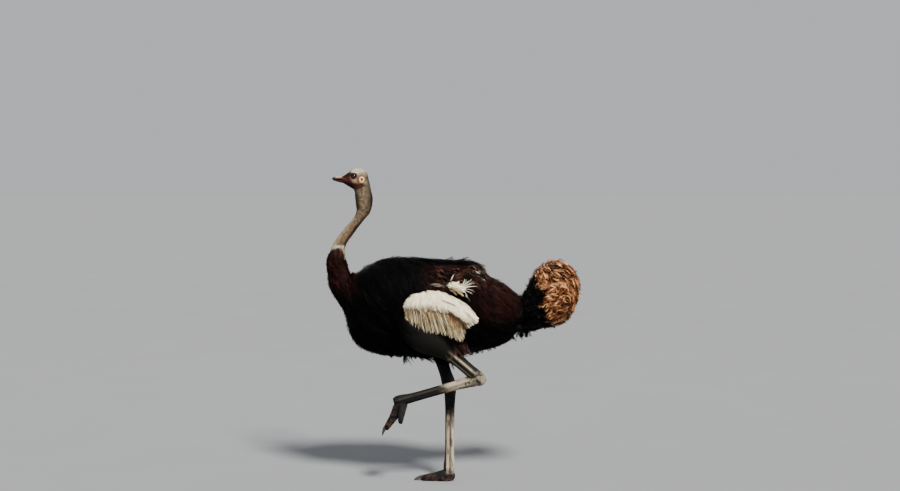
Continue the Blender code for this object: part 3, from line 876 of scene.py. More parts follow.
def add_feathers(coat, line, up, unwrap, reach, barbs, angles, barb_width,
                 segments=2, lift=0.05, sag=0.10, loose=0.10, outline=plume_outline,
                 shaft=0.0012, first=0.05, twist=0.3, hook=0.35):
    """Feathers along lines: a shaft and barbs on both sides. Reach is the length of the longest
    barbs, angles those between shaft and barbs at the root and at the tip, in degrees."""
    rng = coat.rng
    n, k, _ = line.shape
    reach = np.broadcast_to(reach, n)
    along, side, up = feather_frame(line, up, twist, rng)
    place = np.linspace(first, 0.985, barbs)
    low = np.minimum((place * (k - 1)).astype(int), k - 2)
    t = (place * (k - 1) - low)[None, :, None]
    at = lambda values: (values[:, low] * (1 - t) + values[:, low + 1] * t)[:, :, None]
    base, ahead, out, top = at(line), at(along), at(side), at(up)
    sign = np.array((-1.0, 1.0))[None, None, :, None]
    size = reach[:, None, None] * outline(place)[None, :, None]
    size = size * rng.uniform(0.7, 1.12, (n, barbs, 2))
    angle = np.radians(np.interp(place, (0, 1), angles))[None, :, None]
    angle = (angle * rng.uniform(0.75, 1.25, (n, barbs, 2)))[..., None]
    heading = ahead * np.cos(angle) + out * sign * np.sin(angle)
    stray = rng.normal(0, loose, (n, barbs, 2, 3))
    across = unit(np.cross(top, heading))
    points, widths, edges = [], [], []
    for j in range(segments + 1):
        s = (j / segments) ** 0.9
        bend = (ahead - 0.5 * out * sign) * hook * s**2 + top * (lift * s - sag * s**2)
        points.append(base + (heading * s + bend + stray * s**1.5) * size[..., None])
        widths.append(np.full((n, barbs, 2), barb_width * (1 - 0.45 * s)))
        edges.append(0.5 + 0.5 * sign[..., 0] * s * np.ones((n, barbs, 2)))
    points = np.stack(points, 3).reshape(-1, segments + 1, 3)
    widths = np.stack(widths, 3).reshape(-1, segments + 1)
    edges = np.stack(edges, 3).reshape(-1, segments + 1)
    along_tuft = np.broadcast_to(place[None, :, None], (n, barbs, 2)).reshape(-1, 1)
    share = np.minimum(along_tuft + 0.15 * np.linspace(0, 1, segments + 1), 1)
    tuft = rng.random(n)
    spread = lambda values: np.repeat(values, barbs * 2, axis=0)
    across = np.broadcast_to(across.reshape(-1, 1, 3), points.shape)
    coat.add(points, across, widths, spread(unwrap), share, edges, spread(tuft))
    share = np.broadcast_to(np.linspace(0, 1, k), (n, k))
    coat.add(line, side, shaft * (1.1 - share), unwrap, share, np.full((n, k), 0.5), tuft)


def add_single(coat, points, across, width, unwrap):
    """Single blades along points, each a tuft of its own."""
    share = np.broadcast_to(np.linspace(0, 1, points.shape[1]), points.shape[:2])
    coat.add(points, np.broadcast_to(across[:, None], points.shape), width(share), unwrap,
             share, np.full(share.shape, 0.5), coat.rng.random(len(points)))


def add_hairs(coat, roots, normals, unwrap, heading, length, width, rise):
    """Short blades: heading is the way they lie, rise how steeply they leave the skin."""
    heading = unit(heading)
    points = []
    for s in (0.0, 0.5, 1.0):
        out = rise * s - rise * 0.5 * s**2
        points.append(roots + (heading * s + normals * out[:, None]) * length[:, None]
                      - normals * HAIR_ROOT * (1 - s))
    width_at = lambda share: np.broadcast_to(width, len(roots))[:, None] * (1 - 0.4 * share)
    add_single(coat, np.stack(points, 1), unit(np.cross(normals, heading)), width_at, unwrap)


# ---- colours ----
SOOT = np.array((0.0011, 0.0010, 0.0011))
MAROON = linear(44, 19, 14)
BACK_BROWN = linear(70, 46, 38)
COLLAR_RUST = linear(100, 38, 18)
CREAM = linear(255, 246, 216)
TAN = linear(164, 134, 80)
GOLD_BROWN = linear(92, 66, 28)
RUST = linear(132, 66, 20)
PEACH = linear(206, 160, 112)
STRAY_GREY = linear(88, 70, 62)
NECK_BROWN = linear(98, 80, 60)
NECK_DARK = linear(50, 36, 27)
NECK_PALE = linear(158, 140, 114)
NECK_RUST = linear(116, 76, 52)
CROWN = linear(214, 202, 178)
CHEEK = linear(114, 84, 66)
CHEEK_PALE = linear(134, 104, 88)
LORE_RED = linear(46, 8, 5)
BAND = linear(18, 8, 6)
EAR_CREAM = linear(232, 190, 142)
LEG_DARK = linear(28, 27, 25)
LEG_PINK = linear(160, 146, 124)
LEG_GREY = linear(72, 62, 52)
PAD_RED = linear(92, 56, 47)
JAW_BROWN = linear(48, 21, 9)
HORN = linear(52, 46, 42)


def neck_share(points):
    """1 on the beige neck and head, 0 on the black body: a slanting, ragged border."""
    x, z = points[..., 0], points[..., 2]
    border = np.interp(x, (-0.605, -0.564, -0.540, -0.520), (1.362, 1.376, 1.366, 1.330))
    ragged = 0.026 * (noise(points, 0.016, 21) - 0.5)
    return smooth_step(-0.014, 0.014, z - border + ragged) * smooth_step(-0.36, -0.42, x)


def collar_share(points):
    """A patchy white ring at the neck's border, that runs down behind it."""
    x = points[..., 0]
    line = [(-0.606, 1.368), (-0.585, 1.378), (-0.560, 1.386), (-0.536, 1.378), (-0.524, 1.348),
            (-0.518, 1.312)]
    patch = 0.12 + 0.80 * smooth_step(0.44, 0.62, noise(points, 0.012, 22))
    return beside(points, line, 0.0120, 0.0045) * patch * smooth_step(-0.35, -0.45, x)


def frontness(points):
    """Across the neck: 1 at its front, -1 at its back."""
    x, z = points[..., 0], points[..., 2]
    back_x, back_z, front_x, front_z = np.array(NECK[::-1]).T[:4]
    heights = (back_z + front_z) / 2
    centre = np.interp(z, heights, (back_x + front_x) / 2)
    half = np.interp(z, heights, np.hypot(back_x - front_x, back_z - front_z) / 2)
    return (centre - x) / half


def neck_colour(points, mottle):
    """Beige with rusty spots, with a stripe of painted shade down the side that faces down and a
    stripe of painted highlight down the side that faces up: dark in front and pale behind up
    high, and the other way round, dark behind and pale in front, lower down.
    """
    y, z = points[:, 1], points[:, 2]
    neck = mix(NECK_DARK, NECK_PALE, smooth_step(0.25, 0.80, mottle))
    neck = mix(neck, NECK_BROWN, 0.45)
    rusty = smooth_step(0.45, 0.70, noise(points, 0.026, 36)) * smooth_step(1.61, 1.54, z)
    neck = mix(neck, NECK_RUST, 0.42 * rusty)
    # Which side of the neck faces down: the front up high, the back lower down.
    below = frontness(points) * (2 * smooth_step(1.53, 1.61, z) - 1)
    # Painted highlight on the side that faces up.
    neck = mix(neck, NECK_PALE * 1.20, 0.65 * smooth_step(-0.35, -0.90, below))
    middle = smooth_step(0.022, 0.006, np.abs(y))
    # Painted shade on the side that faces down.
    shaded = (0.90 - 0.45 * middle) * smooth_step(0.25, 0.72, below) * (0.6 + 0.4 * mottle)
    return mix(neck, NECK_DARK * 0.35, shaded)


def head_colour(points):
    """Skin and down of the head and neck."""
    x, y, z = np.moveaxis(points, -1, 0)
    aside = np.abs(y)
    mottle = noise(points, 0.009, 23) * 0.6 + noise(points, 0.004, 24) * 0.4
    crown = smooth_step(1.788, 1.820, z + 0.010 * (mottle - 0.5)) * smooth_step(-0.500, -0.478, x)
    colour = mix(neck_colour(points, mottle), CROWN, 0.88 * crown)
    face = smooth_step(-0.405, -0.430, x) * smooth_step(1.738, 1.755, z)
    colour = mix(colour, CHEEK, 0.80 * face * (1 - crown))
    cheek = smooth_step(0.0165, 0.0090, np.hypot(x + 0.4650, z - 1.7660))
    colour = mix(colour, CHEEK_PALE, 0.85 * cheek)
    behind_cheek = bump(x + 0.4445, 0.0055) * smooth_step(1.790, 1.778, z)
    colour = mix(colour, JAW_BROWN * 2.5, 0.70 * behind_cheek * face)
    # Painted shade under the jaw, in dark brown.
    jaw = [(-0.488, 1.742), (-0.464, 1.730), (-0.443, 1.730), (-0.424, 1.738)]
    colour = mix(colour, JAW_BROWN, 0.95 * beside(points, jaw, 0.0220, 0.0090))
    lore = smooth_step(-0.476, -0.494, x + 0.25 * (z - 1.765)) * (z > 1.70)
    colour = mix(colour, LORE_RED, 0.92 * lore)
    brow = [(-0.528, 1.790), (-0.502, 1.799), (-0.478, 1.801), (-0.462, 1.798)]
    colour = mix(colour, BAND, 0.93 * beside(points, brow, 0.0135, 0.0075))
    # Painted shadow under the chin.
    chin = [(-0.540, 1.752), (-0.505, 1.742), (-0.480, 1.730)]
    colour = mix(colour, BAND * 0.7, 0.90 * beside(points, chin, 0.0150, 0.0080))
    colour = mix(colour, BAND, 0.8 * bump(to_line(points, GAPE), 0.0022) * (aside > 0.004))
    socket = smooth_step(1.60, 1.22, from_eye(x, z)) * (aside > 0.008)
    colour = mix(colour, BAND, 0.92 * socket)
    from_ear = np.hypot(x - EAR[0], (z - EAR[2]) / 1.25)
    colour = mix(colour, EAR_CREAM, 0.90 * smooth_step(0.0165, 0.0125, from_ear) * (aside > 0.02))
    # Painted shade in the ear's hollow.
    hole = np.hypot((x - EAR[0]) / 0.0052, (z - EAR[2]) / 0.0098)
    colour = mix(colour, JAW_BROWN * 0.4, 0.96 * smooth_step(1.20, 0.80, hole) * (aside > 0.02))
    above_ear = bump(np.hypot(x + 0.428, z - 1.790), 0.007) * (aside > 0.008)
    return mix(colour, JAW_BROWN, 0.5 * above_ear)


def under_wing(points):
    """1 on the skin of the wing's arm, which is as pale as the plumes that cover it."""
    x, y, z = np.moveaxis(points, -1, 0)
    top, low = column_at(WING_UPPER, 0, 1, x), column_at(WING_UPPER, 2, 3, x)
    inside = smooth_step(0.012, 0.022, np.minimum(top - z, z - low + 0.012))
    return inside * smooth_step(0.196, 0.204, np.abs(y)) * smooth_step(0.25, 0.235, x)


def body_colour(points):
    """Plumage of the body: soot black, maroon at the neck's base, on the flank and on the rear
    back, with brown locks on the back and a rusty patch under the collar."""
    x, z = points[..., 0], points[..., 2]
    streak = noise(points * np.array((1.0, 1.0, 0.25)), 0.016, 25)
    base = smooth_step(-0.40, -0.50, x) * smooth_step(1.02, 1.20, z)
    back = smooth_step(-0.12, 0.04, x) * smooth_step(1.10, 1.18, z) * smooth_step(1.290, 1.262, z)
    flank = smooth_step(0.16, 0.34, x) * smooth_step(0.54, 0.44, x) * smooth_step(0.90, 1.02, z)
    warm = np.maximum(np.maximum(0.60 * base, 0.48 * back), 0.55 * flank) * (0.15 + streak)
    colour = mix(SOOT, MAROON, np.clip(warm, 0, 1))
    locks = smooth_step(0.52, 0.68, noise(points * np.array((0.5, 1.0, 1.0)), 0.012, 38))
    colour = mix(colour, BACK_BROWN, 0.45 * locks * back)
    rust = bump(np.hypot(x + 0.562, z - 1.343), 0.020) * smooth_step(0.35, 0.65, streak)
    return mix(colour, COLLAR_RUST, 0.85 * rust)


def plumage_colour(points):
    """Head, neck and body together, for skin and coat alike."""
    colour = mix(body_colour(points), head_colour(points), neck_share(points))
    return mix(colour, CREAM * 0.85, 0.80 * collar_share(points))


def leg_places(points, side):
    """How near points are to a leg, and how far down its two segments they lie."""
    found = []
    for start, end in ((KNEE[side], ANKLE[side]), (ANKLE[side], TOE_JOINT[side])):
        start, end = np.array(start), np.array(end)
        along = end - start
        share = ((points - start) @ along) / (along @ along)
        away = np.linalg.norm(points - start - np.clip(share, -0.1, 1)[:, None] * along, axis=1)
        found.append((away, share))
    return found


def foot_colour(points, tarsus, mottle):
    """Nearly black, with red-brown scales in patches on the toes."""
    foot = mix(LEG_DARK * 0.24, LEG_GREY, 0.20 * smooth_step(0.5, 0.8, mottle))
    patch = smooth_step(0.15, 0.50, noise(points, 0.026, 34)) * smooth_step(1.00, 1.15, tarsus)
    scutes = smooth_step(0.44, 0.60, noise(points * np.array((0.5, 0.5, 1.0)), 0.0060, 37))
    return mix(foot, PAD_RED, 0.50 * patch * scutes)


def leg_colour(points, side):
    """Dark shank, pale tarsus and dark foot. The left leg has pale tendons on its shank and
    darkens towards the foot, with painted shade on its thigh and a painted highlight down its
    tarsus; the right one is dark above, with painted shade and shadow, and pale below."""
    (to_shank, shank), (to_tarsus, tarsus) = leg_places(points, side)
    mottle = noise(points, 0.012, 31) * 0.6 + noise(points, 0.004, 32) * 0.4
    knee, _, forward, _ = leg_frame(KNEE[side], ANKLE[side])
    behind = -((points - knee) @ forward)
    start, end, ahead, across = leg_frame(ANKLE[side], TOE_JOINT[side])
    local = (points - start) @ np.stack([ahead, across, 0.10 * unit(end - start)], -1)
    stripes = noise(local, 0.0055, 33)
    groove = bump(local[:, 0] + 0.0045, 0.0080) * smooth_step(0.1, 0.3, tarsus)
    if side == "l":
        # Painted shade: the thigh, under the wing, is made a nearly black olive.
        shaded_olive = LEG_DARK * np.array((0.26, 0.26, 0.19))
        upper = mix(shaded_olive, LEG_DARK * 0.50, smooth_step(0.4, 0.9, shank))
        tendon = bump(behind - 0.013, 0.0055) + 0.6 * bump(behind + 0.018, 0.004)
        tendon = tendon * smooth_step(0.50, 0.66, shank)
        upper = mix(upper, LEG_PINK, np.clip(0.85 * tendon + smooth_step(0.91, 0.97, shank), 0, 1))
        pale = smooth_step(0.50, 0.30, tarsus + 0.12 * (mottle - 0.5))
        lower = mix(LEG_DARK * 0.32, LEG_PINK, pale)
        # A painted highlight down the front of the dark lower tarsus.
        lower = mix(lower, LEG_GREY, 0.35 * bump(local[:, 0] - 0.012, 0.004) * (1 - pale))
        groove = 0.55 * groove
    else:
        # Painted shade: the right shank is nearly black.
        upper = mix(SOOT * 2, LEG_DARK * 0.45, smooth_step(0.75, 1.0, shank))
        # Painted shadow: the top of the right tarsus is dark, the rest pale.
        pale = smooth_step(0.24, 0.47, tarsus + 0.10 * (mottle - 0.5))
        lower = mix(LEG_DARK * 0.55, LEG_PINK, pale * smooth_step(0.022, 0.013, local[:, 0]))
    lower = mix(lower, LEG_DARK * 0.5, 0.70 * smooth_step(0.46, 0.26, stripes))
    lower = mix(lower, LEG_DARK * 0.4, 0.85 * groove)
    lower = mix(lower, foot_colour(points, tarsus, mottle), smooth_step(0.97, 1.06, tarsus))
    nearer = smooth_step(0.90, 1.10, to_shank / np.maximum(to_tarsus, 1e-4))
    past_knee = np.maximum(smooth_step(0.7, 0.9, shank), smooth_step(0.15, 0.30, tarsus))
    colour = mix(upper, lower, nearer * past_knee)
    rim = smooth_step(0.024, 0.034, to_shank) * bump(shank - 0.98, 0.07)
    knobs = smooth_step(0.55, 0.64, noise(points, 0.011, 35)) * bump(shank - 0.97, 0.10)
    colour = mix(colour, LEG_DARK * 0.35, np.clip(0.8 * knobs + 0.6 * rim, 0, 0.92))
    return colour * (0.80 + 0.40 * mottle)[:, None]


def leg_share(points):
    """For each point of the skin: 0 on the body, 1 on a leg, and which leg is nearer."""
    y, z = points[:, 1], points[:, 2]
    near = {}
    for side in SIGN_OF:
        (to_shank, shank), _ = leg_places(points, side)
        radius = spotted([(row[0], max(row[1:])) for row in DRUMSTICK], shank)
        near[side] = to_shank / radius
    left = near["l"] < near["r"]
    closest = np.minimum(near["l"], near["r"])
    left = np.where(z < 0.62, y < -0.045, left)
    on_leg = np.maximum(smooth_step(1.25, 1.08, closest), z < 0.735) * smooth_step(0.93, 0.86, z)
    return on_leg, left


def skin_colour(points):
    """The skin under the plumage in the plumage's colours, with bare legs and pale arms."""
    colour = plumage_colour(points)
    on_leg, left = leg_share(points)
    for chosen, side in ((left, "l"), (~left, "r")):
        part = chosen & (on_leg > 0)
        colour[part] = mix(colour[part], leg_colour(points[part], side), on_leg[part])
    return mix(colour, mix(CREAM, TAN, 0.35), under_wing(points))


def varied(colour, tuft, blade, amount):
    """Colours made lighter or darker tuft by tuft and blade by blade."""
    return colour * (1 + amount * (0.65 * tuft + 0.35 * blade - 0.5) * 2)[:, None]


REAR_BACK = [(0.215, 1.262), (0.285, 1.205)]


def paint_body(points, share, tuft, blade):
    """The body's own colour, with a few white barbs at the rear of the back."""
    colour = varied(plumage_colour(points), tuft, blade, 0.45) * (0.75 + 0.5 * share)[:, None]
    rear = bump(to_line(points, REAR_BACK), 0.013)
    return mix(colour, CREAM, 0.85 * rear * smooth_step(0.89, 0.92, blade))


def paint_down(points, share, tuft, blade):
    """Down in the skin's colours, painted shade and highlight included, paler at its tips."""
    colour = plumage_colour(points)
    pale = smooth_step(0.55, 1.0, share)[:, None] * 0.35
    return varied(colour * (0.72 + pale), tuft, blade, 0.50)


# Lines in x and z: rust and painted shade between the wing's rear plumes, and a thin painted shadow
# above.
RUST_AND_SHADE_GAP = [(0.067, 1.022), (0.115, 0.984), (0.165, 0.945)]
WING_SHADOW_LINE = [(0.045, 1.092), (0.116, 1.064)]


def paint_wing(points, share, tuft, blade):
    """White above, with cream and brown strands below, rust and painted shade between the rear
    plumes, and a thin line of painted shadow above them.
    """
    x, z = points[:, 0], points[:, 2]
    fringe = smooth_step(0.020, -0.050, z - wing_tier(x))
    slanted = points - np.array((0.35, 0, 0)) * z[:, None]
    strand = noise(slanted * np.array((1, 0.5, 0.10)), 0.0044, 41)
    dark = smooth_step(0.55, 0.30, 0.45 * strand + 0.55 * tuft)
    tip = smooth_step(0.7, 1.0, share)
    pale = smooth_step(0.52, 0.78, 0.40 * (1 - strand) + 0.60 * tuft + 0.10 * tip)
    tips = mix(mix(TAN * 0.95, GOLD_BROWN * 0.65, 0.85 * dark), CREAM * 0.90, 0.70 * pale)
    low = smooth_step(1.17, 1.07, z)
    cap = mix(CREAM, TAN, (0.15 + 0.45 * smooth_step(0.45, 0.85, strand)) * low)
    colour = mix(cap, tips, fringe)
    # Rust with painted shade in the gap between the rear plumes.
    slot = beside(points, RUST_AND_SHADE_GAP, 0.028, 0.017) * smooth_step(0.04, 0.09, x)
    rust = mix(RUST * 0.55, TAN * 0.70, smooth_step(0.30, 0.85, 0.5 * strand + 0.5 * tuft))
    colour = mix(colour, rust, 0.94 * slot)
    peach = bump(np.hypot(x - 0.187, z - 0.962), 0.014)
    colour = mix(colour, PEACH, 0.90 * peach)
    # A thin line of painted shadow in the upper plumes.
    colour = mix(colour, RUST * 0.12, 0.9 * beside(points, WING_SHADOW_LINE, 0.0055, 0.0030))
    colour = mix(colour, TAN, 0.35 * smooth_step(0.45, 0.05, share))
    return varied(colour, tuft, blade, 0.17)


def paint_white(points, share, tuft, blade):
    """White, with a tan belly; the strand below and the wisp in front are greyer."""
    x, z = points[:, 0], points[:, 2]
    belly = beside(points, [(0.100, 1.146), (0.148, 1.122)], 0.026, 0.012)
    colour = mix(CREAM, TAN * (0.6 + 0.4 * tuft)[:, None], 0.90 * belly)
    grey = smooth_step(1.112, 1.104, z) + smooth_step(0.066, 0.050, x)
    colour = mix(colour, STRAY_GREY, 0.90 * np.clip(grey, 0, 1))
    return varied(colour, tuft, blade, 0.20)


# How far back the tail is black, by height: (z, x).
TAIL_BORDER = [(0.90, 0.700), (0.943, 0.683), (1.043, 0.640), (1.119, 0.634), (1.184, 0.590),
               (1.30, 0.575)]
TAIL_HUES = np.array([linear(*hue) for hue in (
    (32, 14, 8), (100, 54, 31), (160, 102, 62), (52, 24, 13), (182, 128, 84), (138, 80, 46),
    (198, 150, 106), (84, 40, 21), (190, 138, 90))])


def paint_tail(points, share, tuft, blade):
    """Black at the base, then rust, brown and tan ribbons with dark ones between them."""
    x, z = points[:, 0], points[:, 2]
    border = spotted(TAIL_BORDER, z)
    ragged = 0.05 * (noise(points, 0.03, 51) - 0.5) + 0.04 * (tuft - 0.5)
    brown = smooth_step(-0.014, 0.014, x - border + ragged)
    hue = TAIL_HUES[(tuft * len(TAIL_HUES)).astype(int)]
    hue = hue * (0.35 + 0.75 * smooth_step(0.15, 0.60, share))[:, None]
    hue = hue * (0.70 + 0.50 * smooth_step(0.25, 0.7, noise(points, 0.026, 52)))[:, None]
    shade = smooth_step(0.800, 0.836, x) * smooth_step(0.35, 0.75, noise(points, 0.03, 56))
    hue = hue * (1 - 0.60 * shade)[:, None]
    return varied(mix(SOOT * 1.3, hue, brown), tuft, blade, 0.30)


def paint_curls(points, share, tuft, blade):
    """Brown and nearly black tufts, that fade out where the brown of the back ends."""
    brown = mix(SOOT * 2, BACK_BROWN * 1.15, smooth_step(0.50, 0.85, tuft))
    zone = smooth_step(-0.08, 0.02, points[:, 0]) * smooth_step(1.13, 1.17, points[:, 2])
    return varied(mix(SOOT * 2, brown, zone) * (0.6 + 0.5 * share)[:, None], tuft, blade, 0.25)


def paint_brown(points, share, tuft, blade):
    """Nearly black at the root, brown at the tip."""
    return varied(mix(linear(18, 11, 10), linear(74, 48, 42), share**1.5), tuft, blade, 0.5)


def paint_black(points, share, tuft, blade):
    return varied(np.tile(SOOT, (len(points), 1)), tuft, blade, 0.3)


# ---- the ways that feathers lie ----
def centre_line(rings, places):
    """Points and directions down the middle of head and neck."""
    middle = rings[places < TRUNK_START + 1].mean(axis=1)[::3]
    return middle, unit(np.gradient(middle, axis=0))


def body_lie(points, line):
    """Down the neck, and down and back over the trunk."""
    middle, along = line
    x, z = points[:, 0], points[:, 2]
    nearest = np.linalg.norm(points[:, None] - middle[None], axis=2).argmin(axis=1)
    neck = (smooth_step(1.24, 1.36, z) * smooth_step(-0.30, -0.36, x))[:, None]
    down = np.tile((0.62, 0.0, -1.0), (len(points), 1))
    down[:, 0] += 0.9 * smooth_step(0.15, 0.45, x)
    return unit(unit(down) * (1 - neck) + along[nearest] * neck)


def in_thigh(points):
    """True inside the upper part of either leg."""
    inside = np.zeros(len(points), bool)
    for side in SIGN_OF:
        (away, share), _ = leg_places(points, side)
        radius = spotted([(row[0], min(row[1:])) for row in DRUMSTICK], share)
        inside |= (away < radius * 0.85) & (share > -0.08) & (share < 1)
    return inside


def beside_wing(points):
    """1 where the wing and its fringe hide the body."""
    x, y, z = np.moveaxis(points, -1, 0)
    inside = np.minimum(column_at(WING_UPPER, 0, 1, x) - z, z - fringe_bottom(x) - 0.012)
    across = smooth_step(-0.180, -0.165, x) * smooth_step(0.235, 0.215, x)
    return smooth_step(-0.004, 0.016, inside) * across * smooth_step(0.10, 0.14, np.abs(y))


def body_roots(rings, places, rng):
    """Roots of the body's plumes in random order, denser at the neck's base and none where wing
    or thigh hides them, with their places on the unwrap and in the body's rows."""
    trunk, trunk_places = rings[places > PLUMES_FROM], places[places > PLUMES_FROM]

    def density(points):
        x, z = points[..., 0], points[..., 2]
        return 1.0 + 2.4 * smooth_step(-0.42, -0.52, x) * smooth_step(1.0, 1.2, z)

    roots, _, unwrap = roots_on(trunk, BODY_PLUMES, rng, density)
    place = np.interp(unwrap[:, 0], np.linspace(0, 1, len(trunk_places)), trunk_places)
    kept = np.flatnonzero(~in_thigh(roots) & (beside_wing(roots) < 0.5))
    kept = kept[rng.permutation(len(kept))]
    return roots[kept], unwrap[kept], place[kept]


def make_body_coat(rings, places, surface, line):
    """Plumes over the trunk and the neck's base, shorter and finer towards the neck."""
    coat = Coat("body_plumes", paint_body, 101)
    rng = coat.rng
    roots, unwrap, place = body_roots(rings, places, rng)
    small = smooth_step(TRUNK_START + 1.6, TRUNK_START - 1.2, place)
    length = (0.150 - 0.095 * small) * rng.uniform(0.75, 1.15, len(roots))
    clump = noise(roots, 0.070, 26)
    depth = spotted(COAT_DEPTH, place) * rng.uniform(0.55, 1.0, len(roots)) * (0.62 + 0.60 * clump)
    depth = np.maximum(depth, 0.010 - 0.004 * small)
    sway = 1.1 * (noise(roots, 0.085, 27) - 0.5) + rng.normal(0, 0.16, len(roots))
    height = lambda t: depth * (0.05 + 0.95 * smooth_step(0.0, 0.4, t)) - 0.001 * (t == 0)
    line_of, up = run_over(surface, roots, lambda p: body_lie(p, line), length, height, sway)
    t = np.linspace(0, 1, line_of.shape[1])[None, :]
    hang = np.clip(0.15 - up[:, -1:, 2], 0, 1) * t**2 * length[:, None] * 0.08
    line_of[..., 2] -= hang
    line_of[..., 1] -= np.sign(line_of[..., 1]) * 0.040 * beside_wing(line_of)
    reach = (0.032 - 0.017 * small) * rng.uniform(0.8, 1.15, len(roots))
    add_feathers(coat, line_of, up, unwrap, reach, 24, (60, 24), 0.0030, loose=0.12, sag=0.10)
    add_back_ruffle(coat, surface)
    add_danglers(coat)
    return coat


def hanging(starts, length, rng, sway, lean):
    """Lines that hang from their starts, swaying a little and leaning back."""
    n = len(starts)
    t = np.linspace(0, 1, 9)[None, :, None]
    sideways = rng.normal(0, sway, (n, 1, 3)) * np.array((1, 1, 0)) + np.array((lean, 0, 0))
    down = np.array((0, 0, -1.0))
    line = starts[:, None] + (down * t + sideways * t**1.6) * length[:, None, None]
    up = np.broadcast_to(unit(rng.normal(0, 1, (n, 1, 3)) * np.array((0.4, 1, 0.1))), line.shape)
    return line, up


def add_back_ruffle(coat, surface):
    """Loose plumes that stand up a little at the rear of the back."""
    rng = coat.rng
    count = RUFFLE_PLUMES
    roots = vectors(rng.uniform(0.03, 0.235, count), rng.uniform(-0.15, 0.15, count), 1.35)
    length = rng.uniform(0.06, 0.11, count)
    rise = rng.uniform(0.018, 0.036, count)
    height = lambda t: 0.012 + rise * t
    along = lambda points: np.tile((1.0, 0.0, -0.25), (len(points), 1))
    line, up = run_over(surface, roots, along, length, height, rng.normal(0, 0.25, count))
    line = curled(line, rng, 0.006, rng.uniform(0.3, 2.2, count))
    unwrap = vectors(0.55 + roots[:, 0], 0.5 + roots[:, 1])
    add_feathers(coat, line, up, unwrap, 0.022, 20, (50, 22), 0.0028, loose=0.16)


def make_back_curls(surface):
    """Small curly plumes over the brown part of the back, each in its own tone."""
    coat = Coat("back_curls", paint_curls, 145)
    rng = coat.rng
    count = BACK_CURLS
    side = np.where(rng.random(count) < 0.5, -1, 1)
    roots = vectors(rng.uniform(-0.06, 0.25, count), side * rng.uniform(0.13, 0.24, count),
                    rng.uniform(1.188, 1.272, count))
    length = rng.uniform(0.035, 0.070, count)
    rise = rng.uniform(0.020, 0.033, count)
    height = lambda t: rise * smooth_step(-0.3, 0.3, t)
    lie = lambda points: np.array((1.0, 0.0, -0.45)) + 1.2 * wander(points, 0.05, (57, 58, 59))
    line, up = run_over(surface, roots, lie, length, height, rng.normal(0, 0.40, count))
    line = curled(line, rng, rng.uniform(0.003, 0.007, count), rng.uniform(0.3, 3.0, count))
    unwrap = vectors(0.5 + roots[:, 0], 0.5 + 0.3 * side)
    add_feathers(coat, line, up, unwrap, rng.uniform(0.007, 0.013, count), 16, (50, 24), 0.0026,
                 loose=0.18, hook=0.6, twist=0.6)
    return coat


def add_danglers(coat):
    """Loose feathers that hang below the belly and the tail's root and break their outline, and
    a longer tassel of them."""
    rng = coat.rng
    count = DANGLERS + TASSEL_PLUMES
    x = np.concatenate([rng.uniform(-0.40, 0.54, DANGLERS),
                        rng.normal(-0.178, 0.003, TASSEL_PLUMES)])
    y = rng.uniform(-0.12, 0.12, count) * np.interp(x, (-0.4, -0.3, 0.2, 0.54), (0.6, 1, 1, 0.3))
    belly = np.interp(x, (-0.40, -0.30, -0.11, 0.06, 0.215, 0.30, 0.44, 0.54),
                      (0.845, 0.785, 0.762, 0.764, 0.785, 0.810, 0.872, 0.880))
    long = np.abs(x + 0.172) < 0.02
    length = rng.uniform(0.040, 0.065, count) + 0.045 * long
    above = length * rng.uniform(0.35, 0.7, count) * np.where(long, 0.5, 1.0)
    starts = vectors(x, y * np.where(long, 0.3, 1.0), belly + above)
    line, up = hanging(starts, length, rng, 0.16, 0.16)
    line = curled(line, rng, 0.006, rng.uniform(0.2, 2.0, count))
    unwrap = vectors((x + 0.5) / 1.2, (y + 0.2) / 0.4)
    reach = np.where(long, 0.012, 0.024)
    add_feathers(coat, line, up, unwrap, reach, 20, (50, 22), 0.0028, sag=0.0, loose=0.16)


def make_neck_coat(rings, places, line):
    """Down on the neck, longer towards the body."""
    coat = Coat("neck_down", paint_down, 102)
    rng = coat.rng
    neck = rings[(places > NECK_DOWN[0]) & (places < NECK_DOWN[1])]
    count = NECK_HAIRS
    places_on = roots_on(neck, count, rng)
    order = rng.permutation(count)
    roots, normals, unwrap = (values[order] for values in places_on)
    z = roots[:, 2]
    length = np.interp(z, (1.28, 1.40, 1.60, 1.72), (0.034, 0.022, 0.0135, 0.0095))
    length = length * rng.uniform(0.6, 1.2, count)
    heading = tangent(body_lie(roots, line) + rng.normal(0, 0.30, (count, 3)), normals)
    rise = np.interp(z, (1.30, 1.45, 1.70), (0.40, 0.34, 0.26)) * rng.uniform(0.4, 1.4, count)
    add_hairs(coat, roots, normals, unwrap, heading, length, 0.0011 + 0.05 * length, rise)
    return coat


